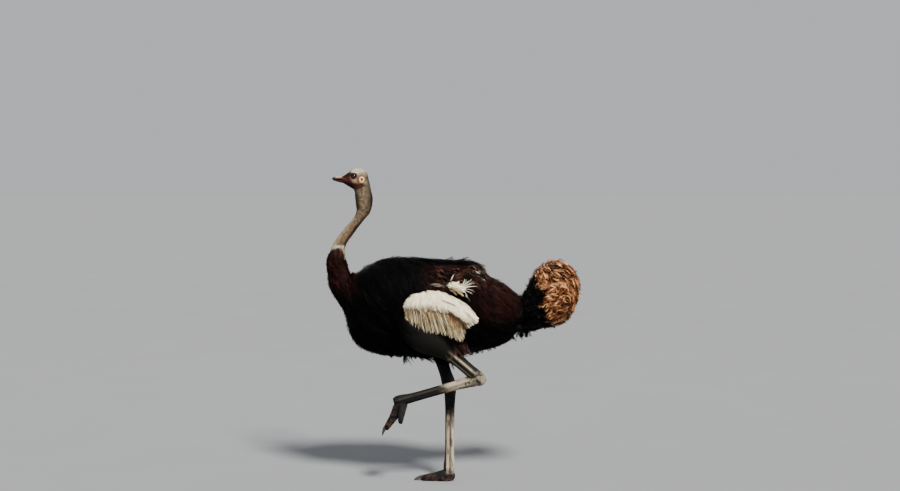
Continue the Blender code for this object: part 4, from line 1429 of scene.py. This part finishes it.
def make_head_coat(rings, places, line):
    """Short bristles: dense on the crown and nape, thin on the face, none on eye and ear."""
    coat = Coat("head_down", paint_down, 103)
    rng = coat.rng
    head = rings[(places > HEAD_DOWN[0]) & (places < HEAD_DOWN[1])]

    def density(points):
        x, z = points[..., 0], points[..., 2]
        from_ear = np.hypot(x - EAR[0], z - EAR[2])
        bare = smooth_step(1.75, 1.45, from_eye(x, z)) + smooth_step(0.0165, 0.0140, from_ear)
        gape = bump(to_line(points, GAPE), 0.004)
        thick = 0.25 + smooth_step(1.795, 1.81, z) + smooth_step(-0.46, -0.41, x)
        thin = smooth_step(-0.535, -0.505, x)
        return np.clip(thick * thin, 0.04, 2) * np.clip(1 - bare - gape, 0, 1)

    count = HEAD_HAIRS
    roots, normals, unwrap = roots_on(head, count, rng, density)
    crown = smooth_step(1.800, 1.818, roots[:, 2])
    length = 0.0042 + 0.0040 * crown + 0.0030 * smooth_step(-0.46, -0.40, roots[:, 0])
    length = length * rng.uniform(0.6, 1.25, count)
    heading = tangent(body_lie(roots, line) + rng.normal(0, 0.25, (count, 3)), normals)
    rise = (0.22 + 0.30 * crown) * rng.uniform(0.3, 1.5, count)
    add_hairs(coat, roots, normals, unwrap, heading, length, 0.00075, rise)
    return coat


# ---- wings ----
def wing_tier(x):
    """Height where the smooth upper tier of the wing ends and the fringe begins."""
    return np.interp(x, (-0.20, -0.15, 0.01, 0.09, 0.17, 0.25),
                     (1.050, 1.066, 1.074, 1.018, 0.960, 0.955))


def wing_lie(points):
    """Down at the front of the wing and ever more back towards its rear."""
    x = points[:, 0]
    back = np.interp(x, (-0.18, -0.02, 0.10, 0.24), (0.02, 0.28, 0.65, 0.95))
    return vectors(back, 0, -1.0 + 0.35 * smooth_step(0.08, 0.22, x))


def make_wing_coat(side, sign, surface):
    """Smooth overlapping plumes on the wing's upper tier, its fringe and its blunt rear tips."""
    coat = Coat("wing_plumes_" + side, paint_wing, 110 + (sign > 0))
    rng = coat.rng
    upper = wing_rings(WING_UPPER, WING_PLANE, sign, 0, 90, 72)

    def on_top(points):
        x, y, z = np.moveaxis(points, -1, 0)
        outer = smooth_step(-0.035, 0.0, (y * sign) - WING_PLANE)
        return outer * (z > wing_tier(x) + 0.022) + 1e-6

    count = WING_PLUMES
    roots, _, unwrap = roots_on(upper, count, rng, on_top)
    x, z = roots[:, 0], roots[:, 2]
    length = np.interp(x, (-0.18, -0.08, 0.12, 0.24), (0.040, 0.062, 0.085, 0.060))
    past = np.interp(x, (0.02, 0.07), (1.0, 0.0)) * rng.uniform(0.030, 0.070, count)
    most = (z - wing_tier(x)) * 1.25 + past
    length = np.minimum(length * rng.uniform(0.85, 1.25, count), most)
    layer = rng.uniform(0, 0.0070, count)
    height = lambda t: -0.016 + (0.0145 - layer) * smooth_step(0, 0.45, t) - 0.003 * t**2
    line, up = run_over(surface, roots, wing_lie, length, height, rng.normal(0, 0.10, count))
    reach = np.interp(length, (0.03, 0.08), (0.013, 0.021))
    add_feathers(coat, line, up, unwrap, reach, 20, (42, 14), 0.0034, loose=0.05, sag=0.06,
                 lift=0.0, twist=0.12)
    add_fringe(coat, sign)
    add_rear_tips(coat, sign)
    return coat


def fringe_bottom(x):
    """Height where the fringe ends."""
    return np.interp(x, (-0.182, -0.170, -0.148, -0.093, 0.008, 0.059, 0.109, 0.155, 0.180),
                     (0.985, 0.940, 0.923, 0.912, 0.912, 0.898, 0.876, 0.870, 0.905))


def add_fringe(coat, sign):
    """Long loose strands that hang from under the smooth tier."""
    rng = coat.rng
    count = FRINGE_STRANDS
    place = (np.arange(count) + rng.random(count)) / count
    x = np.interp(place, (0, 0.78, 1), (-0.180, 0.085, 0.150))
    layer = rng.random(count)
    top = wing_tier(x) + 0.022 - 0.010 * layer
    lean = np.interp(x, (-0.18, -0.15, -0.10, 0.00, 0.15), (-0.02, 0.04, 0.20, 0.36, 0.24))
    lean = lean + rng.normal(0, 0.06, count)
    reach_x = x + lean * (top - fringe_bottom(x))
    bottom = fringe_bottom(reach_x) + rng.normal(0, 0.006, count)
    cut = rng.choice((0.62, 0.82, 1.0, 1.0), count) * rng.uniform(0.9, 1.0, count)
    low = top + (bottom - top) * cut
    thick = column_at(WING_UPPER, 0, 4, x)
    under = column_at(WING_FRINGE, 0, 4, reach_x)
    inward = 0.008 + 0.016 * layer + 0.014 * smooth_step(0.03, 0.08, x)
    start = vectors(x, WING_PLANE + 0.92 * thick - inward, top)
    end = vectors(x + lean * (top - low), WING_FRINGE_PLANE + under - 0.026 * layer, low)
    t = np.linspace(0, 1, 10)[None, :, None]
    line = start[:, None] * (1 - t) + end[:, None] * t
    line[..., 1] += 0.010 * np.sin(np.pi * t[..., 0]) * (1 - layer[:, None])
    wave = rng.uniform(0, 6.3, (count, 1))
    line[..., 0] += 0.0022 * np.sin(wave + 9 * t[..., 0]) * t[..., 0]
    line[..., 1] *= sign
    up = unit(np.broadcast_to(np.array((0.0, sign, 0.15)), line.shape))
    unwrap = vectors(0.1 + 0.7 * place, 0.6 + 0.3 * layer)
    ends = lambda place: 0.45 + 0.55 * smooth_step(0.0, 0.4, place)
    add_feathers(coat, line, up, unwrap, rng.uniform(0.008, 0.015, count), 15, (18, 9), 0.0021,
                 loose=0.08, sag=0.02, lift=0.03, outline=ends, twist=0.5, shaft=0.0020)


# Where the plumes of the wing's rear point end, from the hindmost down: (x, z).
REAR_TIPS = [(0.246, 0.990), (0.241, 0.977), (0.231, 0.965), (0.219, 0.955), (0.206, 0.947),
             (0.194, 0.940), (0.183, 0.936)]


def add_rear_tips(coat, sign):
    """The blunt plumes that form the wing's rear point, like fingers on each other."""
    rng = coat.rng
    each, tips = 3, len(REAR_TIPS)
    count = tips * each
    x, z = (np.repeat(np.array(REAR_TIPS), each, axis=0) + rng.normal(0, 0.0016, (count, 2))).T
    rank = np.repeat(np.arange(tips), each) / (tips - 1)
    heading = np.radians(-32 - 22 * rank)
    length = np.interp(rank, (0, 0.6, 1), (0.125, 0.085, 0.034))
    end = vectors(x, 0.240 + 0.030 * (1 - rank), z)
    back = vectors(np.cos(heading), 0.10, np.sin(heading)) * length[:, None]
    t = np.linspace(0, 1, 10)[None, :, None]
    line = end[:, None] - back[:, None] * (1 - t)
    line[..., 1] += 0.010 * np.sin(np.pi * t[..., 0]) + rng.uniform(0, 0.004, (count, 1))
    line[..., 1] *= sign
    up = np.broadcast_to(np.array((0.10, sign, 0.35)), line.shape)
    unwrap = vectors(0.8 + 0.18 * rank, rng.uniform(0.2, 0.4, count))
    blunt = lambda place: np.minimum(0.55 + 0.5 * place, 6 * (1.04 - place))
    add_feathers(coat, line, unit(up), unwrap, 0.013, 34, (32, 26), 0.0036,
                 loose=0.03, sag=0.05, lift=0.0, twist=0.10, outline=blunt, hook=0.5)


# (number, root x, root z, spread, heading in x and z, shortest, longest, curl, reach, fan)
WHITE_TUFTS = [
    (34, 0.080, 1.172, 0.009, (1.0, -0.30), 0.050, 0.078, 1.4, 0.014, 0.34),
    (30, 0.092, 1.156, 0.009, (1.0, -0.42), 0.045, 0.082, 1.0, 0.015, 0.30),
    (14, 0.130, 1.150, 0.003, (1.0, 0.14), 0.090, 0.108, 1.6, 0.0030, 0.84),
    (2, 0.084, 1.184, 0.002, (0.50, 1.0), 0.038, 0.046, 1.2, 0.0009, 0.20),
    (3, 0.166, 1.120, 0.003, (0.62, -0.80), 0.045, 0.056, 0.8, 0.0018, 0.15),
    (7, -0.022, 1.166, 0.005, (1.0, -0.12), 0.045, 0.075, 1.2, 0.0026, 0.12),
]
WIDE_FAN, FINGERS = 0.5, 7       # a wider fan is dealt out over a few fingers


def make_white_tuft(side, sign, surface):
    """The small white plumes above the wing, with curly ends and a few stray ones round them."""
    coat = Coat("white_tuft_" + side, paint_white, 120 + (sign > 0))
    rng = coat.rng
    for number, x, z, spread, heading, shortest, longest, curl, reach, spray in WHITE_TUFTS:
        fan = rng.uniform(-1, 1, number)
        if spray > WIDE_FAN:
            fan = np.arange(number) % FINGERS / (FINGERS - 1) * 2 - 1 + 0.05 * fan
        roots = vectors(rng.normal(x, spread, number), sign * 0.2, z + spread * fan)
        length = rng.uniform(shortest, longest, number) * (1 - 0.6 * (fan * spray) ** 2)
        rise = rng.uniform(0.008, 0.026, number)
        height = lambda t: 0.020 + rise * smooth_step(0, 0.5, t)
        lie = lambda points: np.tile((heading[0], 0.0, heading[1]), (len(points), 1))
        line, up = run_over(surface, roots, lie, length, height, -sign * fan * spray, steps=14)
        radius = rng.uniform(0.05, 0.09, number) * length
        line = curled(line, rng, radius, curl * rng.uniform(0.4, 1.3, number), 0.45)
        unwrap = vectors(0.5 + 0.4 * fan, np.linspace(0.1, 0.9, number))
        add_feathers(coat, line, up, unwrap, reach, 34, (40, 16), 0.0015,
                     segments=3, loose=0.22, sag=0.1, twist=0.8, hook=0.5, shaft=0.0030)
    return coat


# ---- tail ----
def tail_rings():
    """The tail's outline, closed at its rear by a low dome."""
    back_x, back_z, front_x, front_z, half_width = columns(TAIL, 60)
    back, front = vectors(back_x, 0, back_z), vectors(front_x, 0, front_z)
    rings = ovals((back + front) / 2, (back - front) / 2, vectors(0, half_width, 0), 64)
    middle = rings[-1].mean(axis=0)
    dome = [middle + (rings[-1] - middle) * share + np.array((DOME_HEIGHT * (1 - share**2), 0, 0))
            for share in DOME_SHARES]
    return np.concatenate([rings, dome])


def ribbon_lie(points):
    """Which way the tail's ribbons run: out and down above, out and up below, in patches, and
    down over its rear face."""
    x, z = points[:, 0], points[:, 2]
    above = smooth_step(1.13, 1.22, z)
    rear = smooth_step(0.735, 0.800, x)
    lie = vectors(0.85 - 0.2 * above, 0, 0.40 - 1.15 * above - 1.9 * rear)
    return lie + (1.6 - 0.4 * rear)[:, None] * wander(points, 0.06, (53, 54, 55))


def make_tail_coat():
    """Curly plumes and ribbons that fill the tail's outline."""
    coat = Coat("tail_plumes", paint_tail, 130)
    rings = tail_rings()
    add_tail_plumes(coat, rings)
    add_ribbons(coat, rings)
    return coat


def add_tail_plumes(coat, rings):
    """Plumes that run from the stump out to the tail's outline and bend over there."""
    rng = coat.rng
    count = TAIL_PLUMES
    skin, normals, _ = roots_on(rings, count, rng)
    base = np.array((0.475, 0.0, 1.010))
    depth = np.where(rng.random(count) < 0.70, rng.uniform(0.92, 1.01, count),
                     rng.uniform(0.55, 0.88, count))
    tips = base + (skin - base) * depth[:, None]
    ahead = unit(tips - base)
    roots = base + (tips - base) * rng.uniform(0.30, 0.62, (count, 1))
    over = tangent(rng.normal(0, 0.8, (count, 3)) + np.array((0.5, 0, -0.45)), normals)
    rear = smooth_step(0.6, 1.0, normals[:, :1])
    over = over * rng.uniform(0.020, 0.065, (count, 1)) * (1 + 0.8 * rear)
    over = over - normals * rng.uniform(-0.006, 0.018, (count, 1))
    corner = tips - normals * 0.004
    t = np.linspace(0, 1, 12)[None, :, None]
    line = (roots[:, None] * (1 - t) ** 2 + corner[:, None] * 2 * t * (1 - t)
            + (tips + over)[:, None] * t**2)
    up = unit(np.broadcast_to((normals + rng.normal(0, 0.45, (count, 3)))[:, None], line.shape))
    line = curled(line, rng, rng.uniform(0.006, 0.011, count), rng.uniform(0.5, 3.2, count), 0.6)
    polar = vectors(np.arctan2(ahead[:, 1], ahead[:, 2]) / (2 * np.pi) + 0.5,
                    np.clip(ahead[:, 0] * 0.5 + 0.5, 0, 1))
    add_feathers(coat, line, up, polar, rng.uniform(0.018, 0.030, count), 13, (54, 30), 0.0048,
                 loose=0.18, sag=0.18, lift=0.08, first=0.20, hook=0.6)


def add_ribbons(coat, rings):
    """Curly ribbons that lie on the tail's outline; the shortest stand up a little."""
    rng = coat.rng
    count = TAIL_RIBBONS
    roots, _, unwrap = roots_on(rings, count, rng)
    length = rng.uniform(0.042, 0.084, count)
    lift = rng.uniform(-0.008, 0.004, count) + 0.006 * (length < 0.046)
    height = lambda t: -0.016 + (0.016 + lift) * smooth_step(0, 0.35, t)
    line, up = run_over(tube_surface(rings), roots, ribbon_lie, length, height,
                        rng.normal(0, 0.30, count), steps=11)
    line = curled(line, rng, rng.uniform(0.003, 0.007, count), rng.uniform(0.2, 1.8, count), 0.45)
    add_feathers(coat, line, up, unwrap, rng.uniform(0.009, 0.016, count), 18, (46, 20), 0.0030,
                 loose=0.20, sag=0.14, lift=0.12, hook=0.6, shaft=0.0040, twist=0.6)


# (number, widest place, longest) for each side
THIGH_TUFTS = {"l": (42, 0.205, 0.115), "r": (30, 0.150, 0.080)}


def make_thigh_tufts(surface):
    """Brown, curly feathers that fringe the body behind each thigh."""
    coat = Coat("thigh_tufts", paint_brown, 140)
    rng = coat.rng
    for side, sign in SIGN_OF.items():
        count, widest, longest = THIGH_TUFTS[side]
        starts = vectors(rng.uniform(0.085, 0.185, count),
                         sign * rng.uniform(widest - 0.055, widest, count),
                         rng.uniform(0.815, 0.870, count))
        starts[:, 1] = (0.35 * starts + 0.65 * surface.nearest(starts)[0])[:, 1]
        line, up = hanging(starts, rng.uniform(0.05, longest, count), rng, 0.22, 0.12)
        line = curled(line, rng, 0.012, rng.uniform(1.5, 4.0, count))
        unwrap = vectors((starts[:, 0] + 0.1) * 2, 0.5 + 0.4 * sign * np.abs(starts[:, 1]))
        add_feathers(coat, line, up, unwrap, 0.016, 16, (48, 22), 0.0026, loose=0.2, sag=0.1)
    return coat


def make_lashes():
    """Thick black lashes on the upper lid, thin ones on the lower."""
    coat = Coat("lashes", paint_black, 150)
    rng = coat.rng
    for sign in SIGN_OF.values():
        turn = np.concatenate([np.linspace(0.35, 2.75, 34), np.linspace(3.6, 5.8, 16)])
        turn = turn + rng.normal(0, 0.02, len(turn))
        above = np.sin(turn) > 0
        dx, dz = EYE_OPENING[0] * np.cos(turn), EYE_OPENING[1] * np.sin(turn)
        dy = np.sqrt(EYE_RADIUS**2 - dx**2 - dz**2) + 0.0012
        roots = EYE + vectors(dx, dy, dz)
        out = from_lids(dx, dz)
        flat = unit(np.cross(out * np.array((1, sign, 1)), (0, sign, 0)))
        unwrap = vectors(turn / 6.4, 0.5 + 0.3 * sign)
        length = np.where(above, 0.0105, 0.0045) * rng.uniform(0.8, 1.1, len(turn))
        points = []
        for s in np.linspace(0, 1, 5):
            way = np.array((0, 1.0, 0)) * s + out * (0.25 * s + 0.55 * s**2)
            points.append(roots + way * length[:, None])
        points = np.stack(points, 1) * np.array((1, sign, 1))
        for tilt in (0.0, 1.5):
            across = turned(flat, np.array((0.0, sign, 0.0)), np.full(len(turn), tilt))
            add_single(coat, points, across, lambda share: 0.0007 * (1 - 0.7 * share), unwrap)
    return coat


# ---- bill, eyes, claws ----
def bill_rings(rows, count, sides, detail):
    """Rings along a bill. Their points start on top."""
    x, top, bottom, half_width, squareness, widest = columns(rows, count)
    up, side = vectors(0, 0, (top - bottom) / 2), vectors(0, half_width, 0)
    rings = ovals(vectors(x, 0, (top + bottom) / 2), up, side, sides, squareness, widest)
    return lifted(rings, detail(x[:, None], ring_angles(sides), rings))


def from_nostril(x, z):
    """How far out from the middle of the nostril's slit: 1 on its edge."""
    return np.hypot((x - NOSTRIL[0]) / NOSTRIL_SIZE[0], (z - NOSTRIL[1]) / NOSTRIL_SIZE[1])


def upper_bill_detail(x, angle, rings):
    """The culmen's ridge, the nostrils' slits, and the groove behind the nail."""
    slit = from_nostril(x, rings[..., 2])
    ridge = 0.0007 * bump(angle, 0.35) - 0.0005 * bump(np.abs(angle) - 0.8, 0.25)
    nail = -0.0007 * bump(x + 0.5825 - 0.004 * np.abs(angle), 0.0014)
    base = -0.0006 * bump(x + 0.538, 0.0018)
    rough = 0.00025 * (noise(rings, 0.003, 61) - 0.5)
    return ridge - 0.0021 * bump(slit, 0.8) + 0.0006 * bump(slit - 1.7, 0.5) + nail + base + rough


def lower_bill_detail(x, angle, rings):
    """A groove along each side below and one behind the nail."""
    groove = -0.0006 * bump(np.pi - np.abs(angle) - 0.5, 0.18)
    nail = -0.0005 * bump(x + 0.5790, 0.0014)
    return groove + nail + 0.00025 * (noise(rings, 0.003, 62) - 0.5)


def bill_colour(points):
    """Dark nail, a pale horn-pink ridge that is a painted highlight, and red-brown at the base and
    along the gape.
    """
    x, z = points[:, 0], points[:, 2]
    mottle = noise(points, 0.004, 63)
    base = linear(44, 9, 6) * (0.75 + 0.5 * mottle)[:, None]
    # Painted highlight along the top of the bill, in horn-pink.
    pale = smooth_step(1.7765, 1.7835, z) * smooth_step(-0.535, -0.550, x)
    colour = mix(base, linear(190, 152, 120), 0.70 * pale)
    low = smooth_step(1.770, 1.764, z) * smooth_step(-0.545, -0.56, x)
    colour = mix(colour, linear(34, 16, 12), 0.8 * low)
    nail = smooth_step(-0.5735, -0.5805, x + 0.004 * (mottle - 0.5))
    colour = mix(colour, linear(26, 22, 21), 0.95 * nail)
    return mix(colour, SOOT, 0.9 * smooth_step(1.0, 0.5, from_nostril(x, z)))


def ball(name, centre, radius, axis):
    """An eyeball with a cornea that bulges round its axis."""
    turn = np.linspace(0, np.pi, 66)[1:-1, None]
    up = unit(np.cross(axis, (0, 0, 1.0)))
    right = np.cross(axis, up)
    rings = ovals(axis * np.cos(turn), up * np.sin(turn), right * np.sin(turn), 96)
    rings = centre + rings * (radius * (1 + 0.045 * bump(off_axis(rings, axis), 0.50)))[..., None]
    obj = tube(name, rings)
    colour_points(obj, eye_colour(unit(vertices_of(obj) - centre), axis))
    return obj


def off_axis(directions, axis):
    """Angles between unit vectors and an axis."""
    return np.arccos(np.clip(directions @ axis, -1, 1))


def eye_colour(directions, axis):
    """Black pupil, dark brown iris with fine streaks, and a black rim."""
    off = off_axis(directions, axis)
    streak = noise(directions, 0.045, 64)
    iris = mix(linear(30, 14, 7), linear(56, 30, 15), streak)
    iris = iris * (0.55 + 0.45 * smooth_step(0.80, 0.50, off))[:, None]
    colour = mix(SOOT * 0.4, iris, smooth_step(0.40, 0.44, off))
    return mix(colour, SOOT * 0.8, smooth_step(0.74, 0.80, off))


def claw_rings(side):
    big, _ = toe_places(side)
    ridges = lambda ahead, angle, rings: (
        0.0003 * np.sin(ahead * 1900) + 0.0005 * bump(angle, 0.5)
        + 0.0003 * (noise(rings, 0.003, 65) - 0.5))
    return toe_rings(CLAW, big, 50, 32, ridges, inset=0.0)


def claw_colour(points):
    mottle = noise(points, 0.005, 66)
    return mix(HORN * 0.35, HORN * 1.6, smooth_step(0.45, 0.75, mottle))


# ---- materials ----
def shader_of(name, roughness, sheen=0.0, coat=0.0, specular=0.5):
    """A new material and its main shader, with the finish's constant values set on it."""
    material = bpy.data.materials.new(name)
    material.use_nodes = True
    shader = material.node_tree.nodes["Principled BSDF"]
    shader.inputs["Roughness"].default_value = roughness
    shader.inputs["Sheen Weight"].default_value = sheen
    shader.inputs["Sheen Roughness"].default_value = 0.5
    shader.inputs["Coat Weight"].default_value = coat
    shader.inputs["Coat Roughness"].default_value = 0.03
    shader.inputs["Specular IOR Level"].default_value = specular
    return material, shader


def node(material, kind, **values):
    """A new node, with values for its inputs or, where it has no such input, its settings."""
    made = material.node_tree.nodes.new(kind)
    for name, value in values.items():
        if name in made.inputs:
            made.inputs[name].default_value = value
        else:
            setattr(made, name, value)
    return made


def painted(name, roughness, grain=400.0, contrast=0.25, bump_size=600.0, bump_strength=0.2,
            bump_depth=0.0006, cells=False, **finish):
    """A finish that takes its colour from the mesh and adds fine grain, bump and uneven gloss."""
    material, shader = shader_of(name, roughness, **finish)
    links = material.node_tree.links
    colour = node(material, "ShaderNodeVertexColor", layer_name="colour")
    place = node(material, "ShaderNodeTexCoord")
    fine = node(material, "ShaderNodeTexNoise", Scale=grain, Detail=4.0, Roughness=0.6)
    links.new(place.outputs["Object"], fine.inputs["Vector"])
    shade = node(material, "ShaderNodeMapRange", **{
        "From Min": 0.3, "From Max": 0.7, "To Min": 1 - contrast, "To Max": 1 + contrast})
    links.new(fine.outputs["Fac"], shade.inputs["Value"])
    times = node(material, "ShaderNodeVectorMath", operation="MULTIPLY")
    links.new(colour.outputs["Color"], times.inputs[0])
    links.new(shade.outputs["Result"], times.inputs[1])
    links.new(times.outputs["Vector"], shader.inputs["Base Color"])
    rough = node(material, "ShaderNodeMapRange", **{
        "To Min": roughness * 0.8, "To Max": min(1.0, roughness * 1.2)})
    links.new(fine.outputs["Fac"], rough.inputs["Value"])
    links.new(rough.outputs["Result"], shader.inputs["Roughness"])
    if bump_strength:
        relief = node(material, "ShaderNodeBump", Strength=bump_strength, Distance=bump_depth)
        if cells:
            texture = node(material, "ShaderNodeTexVoronoi", Scale=bump_size)
            height = texture.outputs["Distance"]
        else:
            texture = node(material, "ShaderNodeTexNoise", Scale=bump_size, Detail=6.0)
            height = texture.outputs["Fac"]
        links.new(place.outputs["Object"], texture.inputs["Vector"])
        links.new(height, relief.inputs["Height"])
        links.new(relief.outputs["Normal"], shader.inputs["Normal"])
    return material


# ---- the studio ----
CAMERA_PLACE = (0.087, -8.0, 1.90)
CAMERA_DROP = 0.064317          # how far the view sinks per metre ahead
LENS, SENSOR_WIDTH = 55.04, 36.0
LIGHT_TARGET, LIGHT_DISTANCE = Vector((0.05, 0, 1.0)), 6.0
FLOOR_SIZE = 60.0
FLOOR_TONES = ((0.172, 0.178, 0.186, 1), (0.194, 0.200, 0.208, 1))


def make_camera():
    data = bpy.data.cameras.new("camera")
    data.lens, data.sensor_width = LENS, SENSOR_WIDTH
    camera = bpy.data.objects.new("camera", data)
    camera.location = CAMERA_PLACE
    camera.rotation_euler = (math.pi / 2 - math.atan(CAMERA_DROP), 0, 0)
    bpy.context.scene.collection.objects.link(camera)
    bpy.context.scene.camera = camera


def add_light(name, kind, direction, power, colour, **size):
    """A soft light that shines on the bird from a direction."""
    data = bpy.data.lights.new(name, kind)
    data.energy, data.color = power, colour
    for setting, value in size.items():
        setattr(data, setting, value)
    light = bpy.data.objects.new(name, data)
    towards = Vector(direction).normalized()
    light.location = LIGHT_TARGET + towards * LIGHT_DISTANCE
    light.rotation_mode = "QUATERNION"
    light.rotation_quaternion = towards.to_track_quat("Z", "Y")
    bpy.context.scene.collection.objects.link(light)


def make_lights():
    """A warm, soft sun from the camera's right, cooler light from its left and from behind the
    bird, and a pale sky."""
    add_light("key", "SUN", (0.46, -0.88, 1.18), 9.0, (1.0, 0.97, 0.92), angle=math.radians(12))
    add_light("fill", "AREA", (-1.0, -0.9, 0.45), 22, (0.93, 0.96, 1.0), size=1.6)
    add_light("back", "AREA", (-0.3, 1.0, 0.9), 34, (0.97, 0.98, 1.0), size=4.0)
    world = bpy.data.worlds.new("studio")
    world.use_nodes = True
    background = world.node_tree.nodes["Background"]
    background.inputs["Color"].default_value = (0.90, 0.93, 0.97, 1)
    background.inputs["Strength"].default_value = 0.58
    bpy.context.scene.world = world


def make_floor():
    """A pale, plain floor, very faintly clouded."""
    corners = np.array([(-1, -1, 0), (1, -1, 0), (1, 1, 0), (-1, 1, 0)]) * FLOOR_SIZE
    floor = new_object("floor", corners, np.array([(0, 1, 2), (0, 2, 3)]))
    material, shader = shader_of("floor", 0.85)
    cloud = node(material, "ShaderNodeTexNoise", Scale=1.5, Detail=3.0)
    place = node(material, "ShaderNodeTexCoord")
    ramp = node(material, "ShaderNodeValToRGB")
    for element, tone in zip(ramp.color_ramp.elements, FLOOR_TONES):
        element.color = tone
    links = material.node_tree.links
    links.new(place.outputs["Object"], cloud.inputs["Vector"])
    links.new(cloud.outputs["Fac"], ramp.inputs["Fac"])
    links.new(ramp.outputs["Color"], shader.inputs["Base Color"])
    floor.data.materials.append(material)
    floor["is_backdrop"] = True


# ---- the whole bird ----
def settle(obj, slot, *nodes):
    """Puts a piece on the still body in place of the CAD nodes it stands for; slot is not used."""
    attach(obj, "root")
    if nodes:
        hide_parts(*nodes)


def dress(coat, material, slot, *nodes):
    """Puts the pieces of a coat on the bird; the first stands for the CAD nodes."""
    for i, obj in enumerate(coat.pieces(material)):
        settle(obj, slot, *(nodes if i == 0 else ()))


def coloured(obj, colour_of, material):
    """A piece with its points coloured by place and one material."""
    colour_points(obj, colour_of(vertices_of(obj)))
    obj.data.materials.clear()
    obj.data.materials.append(material)
    return obj


def add_skin(rings, places):
    """The one skin, in place of all the flesh nodes."""
    finish = painted("skin", 0.70, 500, 0.26, 420, 0.6, 0.0010, cells=True, specular=0.12)
    flesh = ["head", "neck_upper", "neck_middle", "neck_lower", "trunk"]
    flesh += [f"{part}_{side}" for side in SIGN_OF
              for part in ("ear", "thigh", "shank", "tarsus", "toe_big", "toe_small")]
    skin = coloured(make_skin(rings, places), skin_colour, finish)
    settle(skin, "skin", *flesh)
    return skin


def add_hard_parts():
    """Bills, eyeballs and claws, each in place of its CAD node."""
    horn = painted("horn", 0.50, 260, 0.18, 300, 0.25, 0.0004, specular=0.16)
    for name, rows, detail in (("bill_upper", UPPER_BILL, upper_bill_detail),
                               ("bill_lower", LOWER_BILL, lower_bill_detail)):
        bill = tube(name + "_horn", bill_rings(rows, 110, 64, detail))
        settle(coloured(bill, bill_colour, horn), "bill", name)
    wet = painted("eye", 0.08, 300, 0.08, bump_strength=0, coat=0.25, specular=0.35)
    nail = painted("claw", 0.40, 300, 0.25, 350, 0.3, 0.0004)
    for side, sign in SIGN_OF.items():
        axis = unit(np.array((-0.26, sign * 1.0, 0.02)))
        eye = ball("eyeball_" + side, EYE * np.array((1, sign, 1)), EYE_RADIUS, axis)
        eye.data.materials.append(wet)
        settle(eye, "eye", "eye_" + side)
        claw = tube("claw_horn_" + side, claw_rings(side))
        settle(coloured(claw, claw_colour, nail), "claw", "claw_" + side)


def add_coats(rings, places, surface):
    """All the feathers; those of the wings and the tail stand for their CAD nodes."""
    line = centre_line(rings, places)
    down = painted("down", 0.78, 700, 0.15, bump_strength=0, specular=0.12)
    black = painted("black_plumes", 0.66, 500, 0.20, bump_strength=0, specular=0.035)
    white = painted("white_plumes", 0.70, 500, 0.06, bump_strength=0, sheen=0.10)
    brown = painted("brown_plumes", 0.68, 500, 0.15, bump_strength=0, specular=0.10)
    dress(make_body_coat(rings, places, surface, line), black, "black_plumage")
    dress(make_back_curls(surface), black, "black_plumage")
    dress(make_neck_coat(rings, places, line), down, "neck")
    dress(make_head_coat(rings, places, line), down, "neck")
    for side, sign in SIGN_OF.items():
        wing = tube_surface(wing_rings(WING_UPPER, WING_PLANE, sign, 0, 90, 72),
                            wing_rings(WING_FRINGE, WING_FRINGE_PLANE, sign, 0, 60, 64))
        dress(make_wing_coat(side, sign, wing), white, "white_plumage",
              "wing_" + side, "wing_fringe_" + side)
        dress(make_white_tuft(side, sign, surface), white, "white_plumage")
    dress(make_tail_coat(), brown, "tail_plumage", "tail")
    dress(make_thigh_tufts(surface), brown, "tail_plumage")
    dress(make_lashes(), black, "black_plumage")


make_camera()
make_lights()
make_floor()
body, body_places = body_rings()
whole_skin = add_skin(body, body_places)
add_hard_parts()
add_coats(body, body_places, surface_of(whole_skin))
sizes = {"cad": cad_box, "visual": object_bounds()}
{name: [list(corner) for corner in box] for name, box in sizes.items()}
